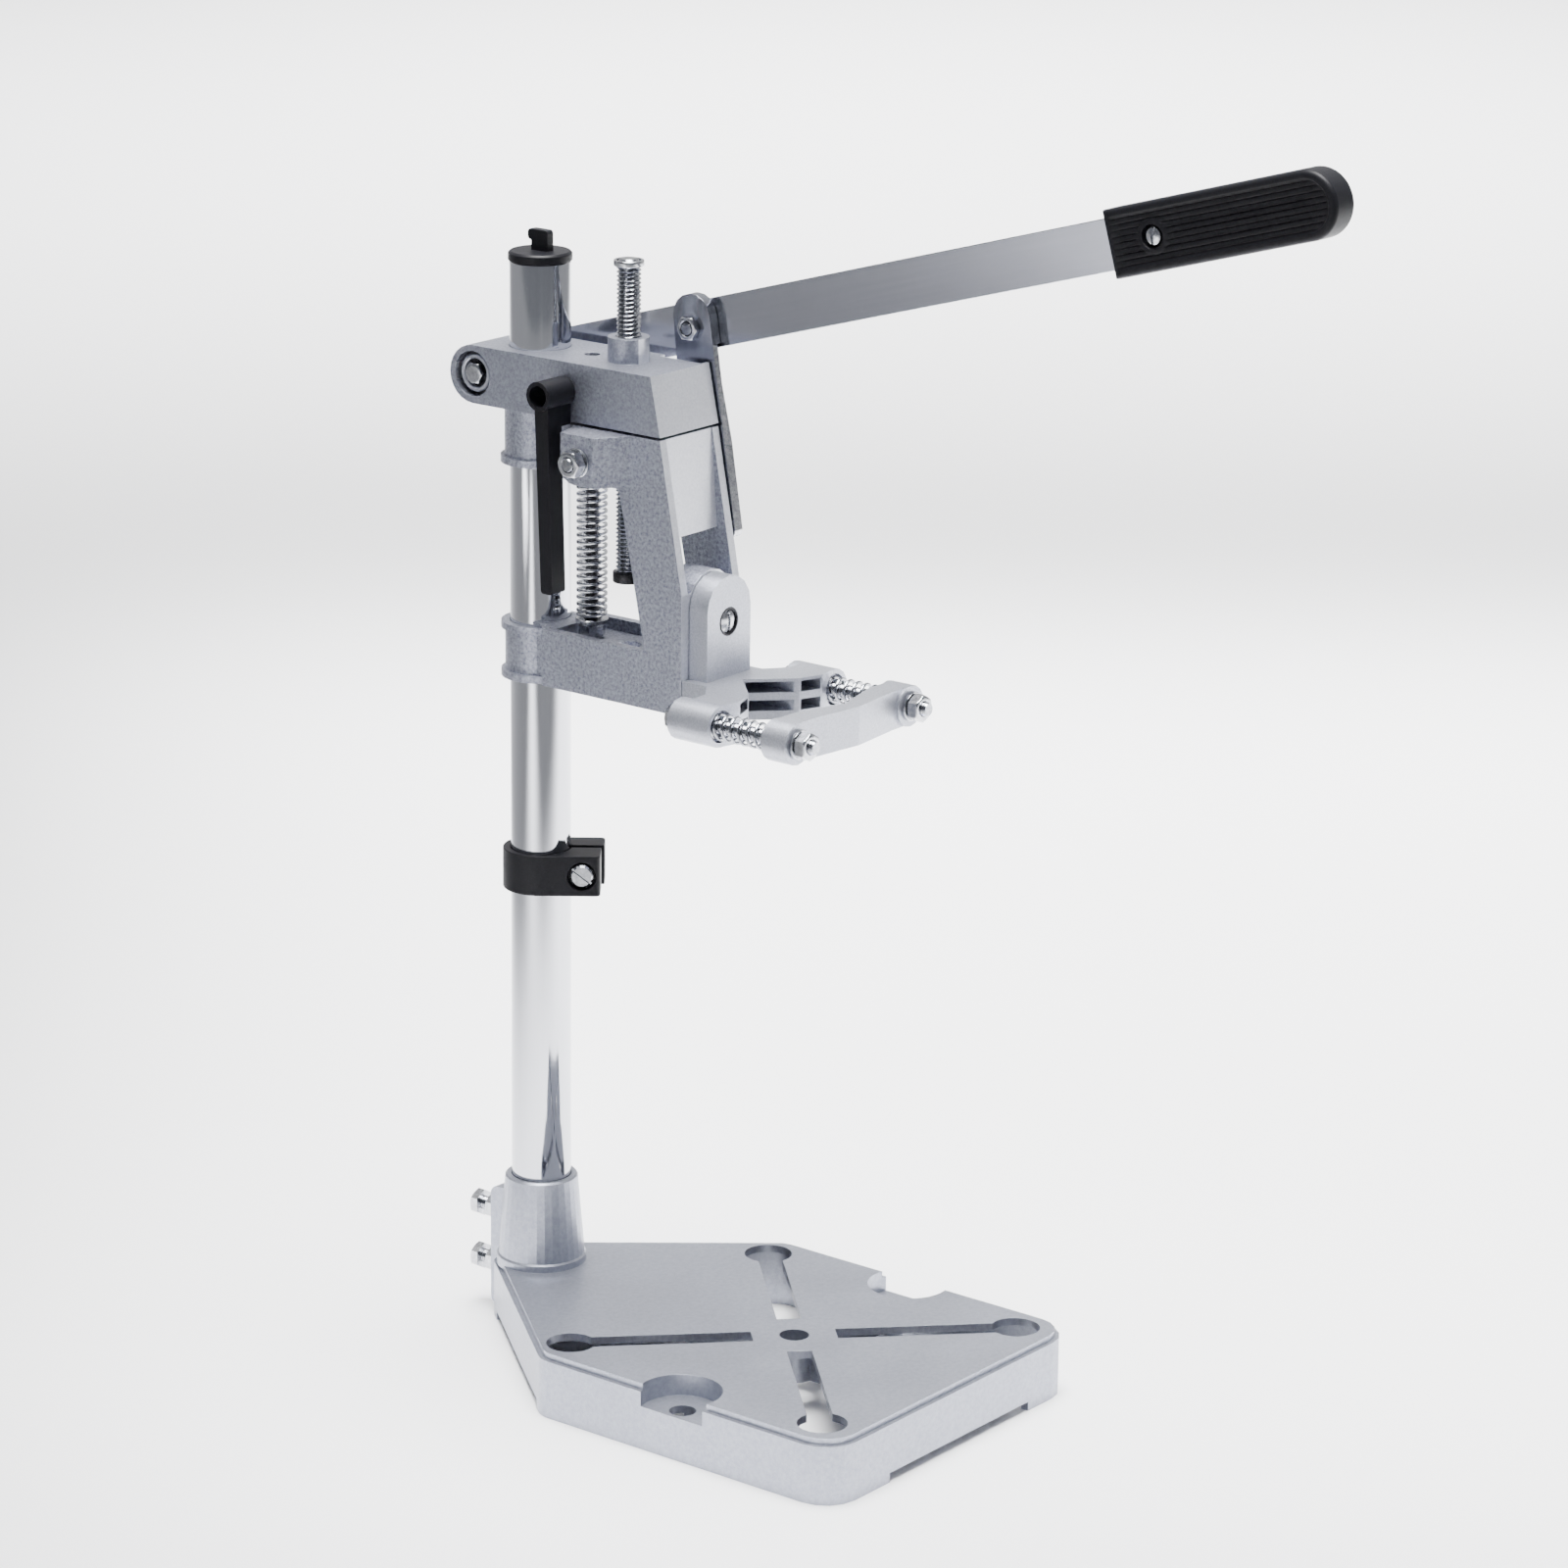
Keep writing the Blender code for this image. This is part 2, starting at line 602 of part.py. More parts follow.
def hex_bolt(name, start, end, radius=BOLT_RADIUS, flats=BOLT_HEX, height=BOLT_HEAD_HEIGHT):
    """Shank from start to end, with a hexagon head outside the start."""
    start, end = Vector(start), Vector(end)
    along = (end - start).normalized()
    shank = rod(name, radius, start - along * height / 2, end)
    return join(shank, hex_prism(name + "_head", flats, start - along * height, start))


def pan_screw(name, start, end, radius, head_radius, height):
    """Shank from start to end, with a round slotted head outside the start."""
    start, end = Vector(start), Vector(end)
    length = (end - start).length
    edge = height / 3
    profile = [(0, length + height), (head_radius - edge, length + height),
               (head_radius, length + height - edge), (head_radius, length),
               (radius, length), (radius, 0), (0, 0)]
    screw = turned(name, profile, end, start - end)
    along = (start - end).normalized()
    slot_start = start + along * height * 2 / 3
    slot = box(name + "_slot", (-edge / 2, -head_radius * 2, 0), (edge / 2, head_radius * 2, height))
    slot.matrix_world = (Matrix.Translation(slot_start + along * height / 2)
                         @ AXES["Z"].rotation_difference(along).to_matrix().to_4x4())
    return cut(screw, slot)


def nut(name, start, end, flats=BOLT_HEX, radius=BOLT_RADIUS):
    """Hexagon nut that clears its screw by the common gap."""
    along = (Vector(end) - Vector(start)).normalized() * OVERRUN
    bore = rod(name + "_bore", radius + GAP, Vector(start) - along, Vector(end) + along)
    return cut(hex_prism(name, flats, start, end), bore)


def ring(name, outer, inner, start, end, segments=RING_SEGMENTS):
    """Washer, spacer or tube between two points."""
    length = (Vector(end) - Vector(start)).length
    profile = [(outer, length), (outer, 0), (inner, 0), (inner, length)]
    return turned(name, profile, start, Vector(end) - Vector(start), segments, closed=True)


def coil(name, start, end, radius, wire, curls):
    """Spring: one tube along a helix, whose ends run straight to the seats for one wire width."""
    start, end = Vector(start), Vector(end)
    along = (end - start).normalized()
    side = along.orthogonal().normalized()
    other = along.cross(side)
    rise = (end - start).length - 2 * wire
    count = curls * CURL_POINTS
    points = [start + side * radius]
    for step in range(count + 1):
        angle = math.tau * step / CURL_POINTS
        spoke = side * math.cos(angle) + other * math.sin(angle)
        points.append(start + along * (wire + rise * step / count) + spoke * radius)
    points.append(end + side * radius)
    curve = bpy.data.curves.new(name, "CURVE")
    curve.dimensions = "3D"
    curve.bevel_depth = wire / 2
    curve.bevel_resolution = 1
    curve.use_fill_caps = True
    spline = curve.splines.new("POLY")
    spline.points.add(len(points) - 1)
    for knot, place in zip(spline.points, points):
        knot.co = (*place, 1)
    guide = bpy.data.objects.new(name, curve)
    PIECES.objects.link(guide)
    near = min((a - b).length for i, a in enumerate(points)
               for b in points[i + CURL_POINTS - 2:])
    print(name, "least gap to itself, mm:", round((near - wire) * 1000, 2))
    piece = as_mesh(guide)
    piece.name = name
    return piece


# Base

def plate_corners():
    """Corners of the base plate, anticlockwise from above."""
    return [
        (-PLATE_HALF_WIDTH, -PLATE_FRONT_REACH, PLATE_FRONT_CORNER_RADIUS),
        (PLATE_HALF_WIDTH, -PLATE_FRONT_REACH, PLATE_FRONT_CORNER_RADIUS),
        (PLATE_HALF_WIDTH, -PLATE_SIDE_END, PLATE_SIDE_CORNER_RADIUS),
        (PLATE_TAIL_HALF_WIDTH, PLATE_REAR_REACH, PLATE_TAIL_CORNER_RADIUS),
        (-PLATE_TAIL_HALF_WIDTH, PLATE_REAR_REACH, PLATE_TAIL_CORNER_RADIUS),
        (-PLATE_HALF_WIDTH, -PLATE_SIDE_END, PLATE_SIDE_CORNER_RADIUS),
    ]


def underside_hollow():
    """Space under the plate, less the bosses, ribs and solid tail that stand in it."""
    hollow = outline("hollow", [fillet(inset(plate_corners(), PLATE_RIM_WALL))], "Z",
                     -OVERRUN, PLATE_HEIGHT - PLATE_SKIN)
    top = PLATE_HEIGHT
    rib_low = PLATE_HEIGHT - PLATE_SKIN - RIB_DEPTH
    half = RIB_THICKNESS / 2
    middle = -TABLE_CENTRE_REACH
    islands = [
        box("tail_solid", (-TAIL_SOLID_HALF_WIDTH, -TAIL_SOLID_FRONT, -2 * OVERRUN),
            (TAIL_SOLID_HALF_WIDTH, PLATE_REAR_REACH + OVERRUN, top)),
        rod("foot", FOOT_RADIUS, (0, 0, -2 * OVERRUN), (0, 0, top), TUBE_SEGMENTS),
        rod("centre_boss", CENTRE_BOSS_RADIUS, (0, middle, rib_low), (0, middle, top)),
        box("long_rib", (-half, -PLATE_FRONT_REACH, rib_low), (half, 0, top)),
        box("cross_rib", (-PLATE_HALF_WIDTH, middle - half, rib_low),
            (PLATE_HALF_WIDTH, middle + half, top)),
    ]
    for side in (-1, 1):
        foot = (side * POCKET_OFFSET, -POCKET_REACH, POCKET_FLOOR_HEIGHT - PLATE_SKIN)
        islands.append(rod("pocket_wall", POCKET_RADIUS + PLATE_SKIN, foot,
                           (foot[0], foot[1], top), RING_SEGMENTS))
    return cut(hollow, *islands)


def table_slots():
    """Four slots on the diagonals of the table centre, each ending in a round keyhole."""
    slots = []
    reach = KEYHOLE_REACH * math.sqrt(2)
    half = SLOT_WIDTH / 2
    mouth = math.asin(half / KEYHOLE_RADIUS)
    shape = [(SLOT_START, half), (SLOT_START, -half)]
    shape += arc((reach, 0), KEYHOLE_RADIUS, mouth - math.pi, math.pi - mouth, RING_SEGMENTS)
    for quarter in range(4):
        turn = math.pi * (2 * quarter + 1) / 4
        cosine, sine = math.cos(turn), math.sin(turn)
        contour = [(u * cosine - v * sine, u * sine + v * cosine - TABLE_CENTRE_REACH)
                   for u, v in shape]
        slots.append(outline("slot", [contour], "Z", -OVERRUN, PLATE_HEIGHT + OVERRUN))
    return slots


def arches():
    """Low openings under the front edge and under the two rear chamfers."""
    depth = PLATE_RIM_WALL + OVERRUN
    front = box("front_arch", (-ARCH_LEFT, -PLATE_FRONT_REACH - OVERRUN, -OVERRUN),
                (ARCH_RIGHT, -PLATE_FRONT_REACH + depth, ARCH_HEIGHT))
    tools = [front]
    for side in (-1, 1):
        start = Vector((side * PLATE_HALF_WIDTH, -PLATE_SIDE_END, 0))
        end = Vector((side * PLATE_TAIL_HALF_WIDTH, PLATE_REAR_REACH, 0))
        along = end - start
        reach = along.length / 2 - CHAMFER_ARCH_MARGIN
        arch = box("chamfer_arch", (-reach, -depth, -OVERRUN), (reach, depth, ARCH_HEIGHT))
        heading = Matrix.Rotation(math.atan2(along.y, along.x), 4, "Z")
        middle = (start + end) / 2 + Vector((0, 0, (ARCH_HEIGHT - OVERRUN) / 2))
        arch.matrix_world = Matrix.Translation(middle) @ heading
        tools.append(arch)
    return tools


def base_casting():
    corners = plate_corners()
    plate = outline("base_casting", [fillet(corners)], "Z", 0, PLATE_HEIGHT)
    bead_top = PLATE_HEIGHT + SOCKET_BEAD_HEIGHT
    root = PLATE_HEIGHT - PLATE_SKIN / 2
    socket = turned("socket", [
        (0, SOCKET_TOP), (SOCKET_TOP_RADIUS - SOCKET_RIM_CHAMFER, SOCKET_TOP),
        (SOCKET_TOP_RADIUS, SOCKET_TOP - SOCKET_RIM_CHAMFER), (SOCKET_ROOT_RADIUS, bead_top),
        (SOCKET_BEAD_RADIUS, bead_top - SOCKET_RIM_CHAMFER), (SOCKET_BEAD_RADIUS, root), (0, root),
    ], (0, 0, 0), (0, 0, 1), TUBE_SEGMENTS)
    pad = outline("pad", [fillet([
        (0, PAD_BOTTOM, 0), (PAD_REACH, PAD_BOTTOM, PAD_CORNER_RADIUS / 2),
        (PAD_REACH, PAD_TOP, PAD_CORNER_RADIUS), (0, PAD_TOP, 0),
    ])], "X", -PAD_HALF_WIDTH, PAD_HALF_WIDTH)
    ledge = outline("ledge", [fillet(inset(corners, -OVERRUN)), fillet(inset(corners, LEDGE_INSET))],
                    "Z", PLATE_HEIGHT - LEDGE_DROP, PLATE_HEIGHT + OVERRUN)
    cut(plate, ledge)
    cut(plate, underside_hollow())
    join(plate, socket, pad)
    cut(plate, *arches())
    cut(plate, *table_slots())
    high = PLATE_HEIGHT + OVERRUN
    cut(plate, rod("centre_hole", CENTRE_HOLE_RADIUS, (0, -TABLE_CENTRE_REACH, -OVERRUN),
                   (0, -TABLE_CENTRE_REACH, high), RING_SEGMENTS))
    for side in (-1, 1):
        cut(plate, rod("pocket", POCKET_RADIUS, (side * POCKET_OFFSET, -POCKET_REACH,
                                                 POCKET_FLOOR_HEIGHT),
                       (side * POCKET_OFFSET, -POCKET_REACH, high), TUBE_SEGMENTS))
        hole = (side * BENCH_HOLE_OFFSET, -POCKET_REACH)
        cut(plate, rod("bench_hole", BENCH_HOLE_RADIUS, (*hole, -OVERRUN), (*hole, high),
                       RING_SEGMENTS))
    cut(plate, rod("column_bore", BORE_RADIUS, (0, 0, SOCKET_FLOOR), (0, 0, SOCKET_TOP + OVERRUN),
                   TUBE_SEGMENTS))
    for height in SET_SCREW_HEIGHTS:
        cut(plate, rod("set_screw_hole", BOLT_HOLE, (0, COLUMN_RADIUS / 2, height),
                       (0, PAD_REACH + OVERRUN, height)))
    return finish(plate, CAST_ALUMINIUM, None)


def socket_fasteners():
    """Two set screws that hold the column in the socket, each with its lock nut."""
    tip = COLUMN_RADIUS + GAP
    seat = PAD_REACH + GAP
    head = SET_SCREW_REACH - BOLT_HEAD_HEIGHT
    for level, height in zip(("lower", "upper"), SET_SCREW_HEIGHTS):
        finish(hex_bolt("set_screw_" + level, (0, head, height), (0, tip, height)), ZINC, None)
        finish(nut("lock_nut_" + level, (0, seat, height), (0, seat + NUT_HEIGHT, height)),
               ZINC, None)


# Column

def column(carrier):
    tube = ring("column", COLUMN_RADIUS, COLUMN_RADIUS - COLUMN_WALL, (0, 0, COLUMN_BOTTOM),
                (0, 0, COLUMN_TOP), TUBE_SEGMENTS)
    return finish(tube, CHROME, carrier)


def column_cap(carrier):
    """Cap with a plug in the tube, a flange on its end and a small hooked lug on top."""
    seat = COLUMN_TOP + GAP
    flange_top = seat + CAP_FLANGE_HEIGHT
    neck_top = flange_top + CAP_NECK_HEIGHT
    hook_top = neck_top + CAP_HOOK_HEIGHT
    plug = COLUMN_RADIUS - COLUMN_WALL - GAP
    edge = CAP_FLANGE_HEIGHT / 4
    cap = turned("column_cap", [
        (0, flange_top), (CAP_FLANGE_RADIUS - edge, flange_top),
        (CAP_FLANGE_RADIUS, flange_top - edge), (CAP_FLANGE_RADIUS, seat),
        (plug, seat), (plug, seat - CAP_PLUG_DEPTH), (0, seat - CAP_PLUG_DEPTH),
    ], (0, 0, 0), (0, 0, 1), TUBE_SEGMENTS)
    round_off = CAP_HOOK_HEIGHT / 3
    lug = outline("hook", [fillet([
        (-CAP_NECK_FRONT, seat + edge, 0), (CAP_NECK_REAR, seat + edge, 0),
        (CAP_NECK_REAR, neck_top, 0), (CAP_HOOK_REAR, neck_top, round_off),
        (CAP_HOOK_REAR, hook_top, round_off), (-CAP_NECK_FRONT, hook_top, round_off),
    ])], "X", -CAP_HOOK_HALF_WIDTH, CAP_HOOK_HALF_WIDTH)
    return finish(join(cap, lug), BLACK_PLASTIC, carrier)


# Stop collar

def collar_place(reach, depth, height):
    """World point from a reach along the ears, a depth towards the screw head and a height."""
    cosine, sine = math.cos(COLLAR_TURN), math.sin(COLLAR_TURN)
    return Vector((reach * cosine + depth * sine, reach * sine - depth * cosine, height))


def stop_collar(carrier):
    """Split ring with two thick ears, pinched by a screw across the slit."""
    low, high = COLLAR_BOTTOM, COLLAR_BOTTOM + COLLAR_HEIGHT
    half_slit = COLLAR_SLIT / 2
    far_depth = half_slit + COLLAR_FAR_EAR_THICKNESS
    corner = COLLAR_EAR_CORNER_RADIUS
    ears = fillet([
        (0, -far_depth, 0), (COLLAR_FAR_EAR_REACH, -far_depth, corner),
        (COLLAR_FAR_EAR_REACH, 0, 0), (COLLAR_NEAR_EAR_REACH, 0, 0),
        (COLLAR_NEAR_EAR_REACH, COLLAR_RADIUS - GAP, corner), (0, COLLAR_RADIUS - GAP, 0)])
    collar = rod("stop_collar", COLLAR_RADIUS, (0, 0, low), (0, 0, high), TUBE_SEGMENTS)
    join(collar, outline("ears", [[tuple(collar_place(u, v, 0))[:2] for u, v in ears]], "Z",
                         low, high))
    slit = [tuple(collar_place(u, v, 0))[:2] for u, v in (
        (0, -half_slit), (COLLAR_FAR_EAR_REACH + OVERRUN, -half_slit),
        (COLLAR_FAR_EAR_REACH + OVERRUN, half_slit), (0, half_slit))]
    cut(collar, outline("slit", [slit], "Z", low - OVERRUN, high + OVERRUN))
    cut(collar, rod("collar_bore", BORE_RADIUS, (0, 0, low - OVERRUN), (0, 0, high + OVERRUN),
                    TUBE_SEGMENTS))
    middle = (low + high) / 2
    recess_floor = COLLAR_RADIUS - COLLAR_RECESS_DEPTH
    cut(collar, rod("collar_screw_hole", COLLAR_SCREW_RADIUS + GAP,
                    collar_place(COLLAR_SCREW_REACH, -far_depth - OVERRUN, middle),
                    collar_place(COLLAR_SCREW_REACH, COLLAR_RADIUS + OVERRUN, middle)))
    cut(collar, rod("collar_recess", COLLAR_RECESS_RADIUS,
                    collar_place(COLLAR_SCREW_REACH, recess_floor, middle),
                    collar_place(COLLAR_SCREW_REACH, COLLAR_RADIUS + OVERRUN, middle),
                    RING_SEGMENTS))
    finish(collar, BLACK_PLASTIC, carrier)
    nut_start = -far_depth - GAP
    nut_end = nut_start - COLLAR_NUT_HEIGHT
    screw = pan_screw("stop_collar_screw",
                      collar_place(COLLAR_SCREW_REACH, recess_floor + GAP, middle),
                      collar_place(COLLAR_SCREW_REACH, nut_end, middle), COLLAR_SCREW_RADIUS,
                      COLLAR_SCREW_HEAD_RADIUS, COLLAR_RECESS_DEPTH - GAP)
    finish(screw, ZINC, carrier)
    fastener = nut("stop_collar_nut", collar_place(COLLAR_SCREW_REACH, nut_start, middle),
                   collar_place(COLLAR_SCREW_REACH, nut_end, middle), COLLAR_NUT_HEX,
                   COLLAR_SCREW_RADIUS)
    finish(fastener, ZINC, carrier)


# Head

def head_block(carrier):
    """Block on the column with a round rear end, the depth rod's boss and a flexing cheek."""
    block = outline("head_block", [[
        (-HEAD_FRONT_REACH, HEAD_BOTTOM), *arc((HANDLE_PIVOT_REACH, HEAD_BOTTOM + HEAD_HEIGHT / 2),
                                               HEAD_HEIGHT / 2, -math.pi / 2, math.pi / 2,
                                               ROD_SEGMENTS),
        (-HEAD_TOP_FRONT_REACH, HEAD_TOP)]], "X", -HEAD_HALF_WIDTH, HEAD_HALF_WIDTH)
    boss_top = HEAD_TOP + ROD_BOSS_HEIGHT
    join(block, rod("rod_boss", ROD_BOSS_RADIUS, (0, -DEPTH_ROD_REACH, HEAD_TOP - OVERRUN),
                    (0, -DEPTH_ROD_REACH, boss_top), RING_SEGMENTS))
    low = HEAD_BOTTOM - OVERRUN
    cut(block, rod("head_bore", BORE_RADIUS, (0, 0, low), (0, 0, HEAD_TOP + OVERRUN), TUBE_SEGMENTS),
        rod("depth_rod_hole", DEPTH_ROD_RADIUS + GAP, (0, -DEPTH_ROD_REACH, low),
            (0, -DEPTH_ROD_REACH, boss_top + OVERRUN), RING_SEGMENTS),
        rod("spring_rod_hole", BOLT_HOLE, (0, -SPRING_ROD_REACH, low),
            (0, -SPRING_ROD_REACH, HEAD_TOP + OVERRUN)),
        rod("stud_hole", BOLT_HOLE, (-HEAD_HALF_WIDTH - OVERRUN, -CLAMP_REACH, CLAMP_HEIGHT),
            (-HEAD_HALF_WIDTH + CLAMP_STUD_DEPTH, -CLAMP_REACH, CLAMP_HEIGHT)),
        rod("pivot_hole", BOLT_HOLE, HANDLE_PIVOT - AXES["X"] * (HEAD_HALF_WIDTH + OVERRUN),
            HANDLE_PIVOT + AXES["X"] * (HEAD_HALF_WIDTH + OVERRUN)),
        rod("pivot_recess", PIVOT_RECESS_RADIUS,
            HANDLE_PIVOT - AXES["X"] * (HEAD_HALF_WIDTH + OVERRUN),
            HANDLE_PIVOT - AXES["X"] * (HEAD_HALF_WIDTH - PIVOT_RECESS_DEPTH), RING_SEGMENTS))
    cheek = -HEAD_HALF_WIDTH + CHEEK_THICKNESS
    cut(block, box("cheek_slot", (cheek, -CHEEK_SLOT_FRONT, low),
                   (cheek + CHEEK_SLOT_WIDTH, CHEEK_SLOT_REAR, CHEEK_SLOT_TOP)))
    cut(block, box("link_side", (HEAD_HALF_WIDTH - LINK_SIDE_RECESS, -LINK_SIDE_RECESS_END, low),
                   (HEAD_HALF_WIDTH + OVERRUN, -LINK_SIDE_RECESS_START, HEAD_TOP + OVERRUN)))
    return finish(block, SMOOTH_ALUMINIUM, carrier)


def handle_pivot(carrier):
    """Bolt that the feed lever turns on, with its spacer and nut."""
    seat = -HEAD_HALF_WIDTH + PIVOT_RECESS_DEPTH - GAP
    washer_start = HANDLE_OUTER_X + GAP
    nut_start = washer_start + WASHER_HEIGHT + GAP
    nut_end = nut_start + NUT_HEIGHT
    along = AXES["X"]
    bolt = hex_bolt("handle_pivot_bolt", HANDLE_PIVOT + along * seat,
                    HANDLE_PIVOT + along * (nut_end + GAP))
    finish(bolt, ZINC, carrier)
    finish(ring("handle_pivot_spacer", WASHER_RADIUS, BOLT_HOLE,
                HANDLE_PIVOT + along * (HEAD_HALF_WIDTH + GAP),
                HANDLE_PIVOT + along * (HANDLE_INNER_X - GAP)), ZINC, carrier)
    finish(ring("handle_pivot_washer", WASHER_RADIUS, BOLT_HOLE,
                HANDLE_PIVOT + along * washer_start,
                HANDLE_PIVOT + along * (washer_start + WASHER_HEIGHT)), ZINC, carrier)
    finish(nut("handle_pivot_nut", HANDLE_PIVOT + along * nut_start,
               HANDLE_PIVOT + along * nut_end), ZINC, carrier)


def clamp_lever(carrier):
    """Black lever on a stud that squeezes the cheek on the column."""
    hub = rod("clamp_lever", CLAMP_HUB_RADIUS, (CLAMP_HUB_OUTER_X, -CLAMP_REACH, CLAMP_HEIGHT),
              (CLAMP_HUB_INNER_X, -CLAMP_REACH, CLAMP_HEIGHT), RING_SEGMENTS)
    tip = CLAMP_REACH + CLAMP_ARM_LEAN
    arm = outline("arm", [fillet([
        (-CLAMP_REACH - CLAMP_ARM_HALF_WIDTH, CLAMP_HEIGHT, 0),
        (-tip - CLAMP_ARM_TIP_HALF_WIDTH, CLAMP_ARM_END_HEIGHT, CLAMP_ARM_TIP_HALF_WIDTH / 2),
        (-tip + CLAMP_ARM_TIP_HALF_WIDTH, CLAMP_ARM_END_HEIGHT, CLAMP_ARM_TIP_HALF_WIDTH / 2),
        (-CLAMP_REACH + CLAMP_ARM_HALF_WIDTH, CLAMP_HEIGHT, 0)])],
        "X", CLAMP_ARM_OUTER_X, CLAMP_ARM_INNER_X)
    join(arm, box("web", (CLAMP_ARM_OUTER_X + OVERRUN, -CLAMP_REACH - CLAMP_ARM_HALF_WIDTH,
                          CLAMP_HEIGHT - CLAMP_WEB_LENGTH),
                  (CLAMP_HUB_INNER_X, -CLAMP_REACH + CLAMP_ARM_HALF_WIDTH, CLAMP_HEIGHT)))
    join(hub, arm)
    cut(hub, rod("stud_bore", BOLT_HOLE, (CLAMP_HUB_OUTER_X - OVERRUN, -CLAMP_REACH, CLAMP_HEIGHT),
                 (CLAMP_HUB_INNER_X + OVERRUN, -CLAMP_REACH, CLAMP_HEIGHT)),
        rod("hub_recess", CLAMP_HUB_RECESS_RADIUS,
            (CLAMP_HUB_OUTER_X - OVERRUN, -CLAMP_REACH, CLAMP_HEIGHT),
            (CLAMP_HUB_OUTER_X + CLAMP_HUB_RECESS_DEPTH, -CLAMP_REACH, CLAMP_HEIGHT),
            RING_SEGMENTS))
    finish(hub, BLACK_PLASTIC, carrier)


def clamp_stud(carrier):
    head = CLAMP_HUB_OUTER_X + CLAMP_HUB_RECESS_DEPTH - GAP
    head_height = CLAMP_STUD_HEAD
    head_radius = CLAMP_HUB_RECESS_RADIUS - GAP
    tip = -HEAD_HALF_WIDTH + CLAMP_STUD_DEPTH - GAP
    length = tip - head
    profile = [(0, length + head_height), (head_radius, length + head_height),
               (head_radius, length), (BOLT_RADIUS, length), (BOLT_RADIUS, 0), (0, 0)]
    stud = turned("clamp_stud", profile, (tip, -CLAMP_REACH, CLAMP_HEIGHT), (-1, 0, 0))
    finish(stud, ZINC, carrier)


def return_spring(head):
    """Rod hung from the head, with washer and nut, and the spring that lifts the carriage."""
    at = (0, -SPRING_ROD_REACH)
    finish(rod("spring_rod", BOLT_RADIUS, (*at, SPRING_ROD_BOTTOM), (*at, SPRING_ROD_TOP)),
           ZINC, head)
    nut_top = SPRING_ROD_BOTTOM + GAP + SPRING_NUT_HEIGHT
    finish(nut("spring_nut", (*at, SPRING_ROD_BOTTOM + GAP), (*at, nut_top)), ZINC, head)
    washer_low = nut_top + GAP
    washer_top = washer_low + SPRING_WASHER_HEIGHT
    finish(ring("spring_washer", SPRING_WASHER_RADIUS, BOLT_HOLE, (*at, washer_low),
                (*at, washer_top)), ZINC, head)
    spring = coil("return_spring", (*at, washer_top + GAP), (*at, WINDOW_TOP - GAP),
                  SPRING_COIL_RADIUS, SPRING_WIRE, SPRING_CURLS)
    finish(spring, ZINC, head)


def depth_rod(carrier):
    """Threaded rod through the boss, with a ring at its top and a stop ring at its foot."""
    at = (0, -DEPTH_ROD_REACH)
    finish(rod("depth_rod", DEPTH_ROD_RADIUS, (*at, DEPTH_ROD_BOTTOM), (*at, DEPTH_ROD_TOP),
               RING_SEGMENTS), ZINC, carrier)
    inner = DEPTH_ROD_RADIUS + GAP
    low = DEPTH_ROD_BOTTOM + DEPTH_RING_INSET
    high = DEPTH_ROD_TOP - DEPTH_TOP_RING_INSET
    for name, bottom, top in (("depth_stop_ring", low, low + DEPTH_RING_HEIGHT),
                              ("depth_top_ring", high - DEPTH_TOP_RING_HEIGHT, high)):
        finish(ring(name, DEPTH_RING_RADIUS, inner, (*at, bottom), (*at, top)), DARK_STEEL, carrier)


# Carriage

def hood(half_width):
    """Arched shell over the tilt screw, closed by the carriage's face and open to the rear."""
    def arch(radius, foot):
        return [(radius, foot), *arc((0, TAB_ROUND_HEIGHT), radius, 0, math.pi, RING_SEGMENTS // 2),
                (-radius, foot)]
    face = -CARRIAGE_FACE_REACH
    shell = outline("hood", [arch(half_width, TILT_HEIGHT)], "Y", face, face + HOOD_DEPTH)
    return cut(shell, outline("hood_inside", [arch(half_width - HOOD_WALL, TILT_HEIGHT - OVERRUN)],
                              "Y", face + CARRIAGE_WALL, face + HOOD_DEPTH + OVERRUN))


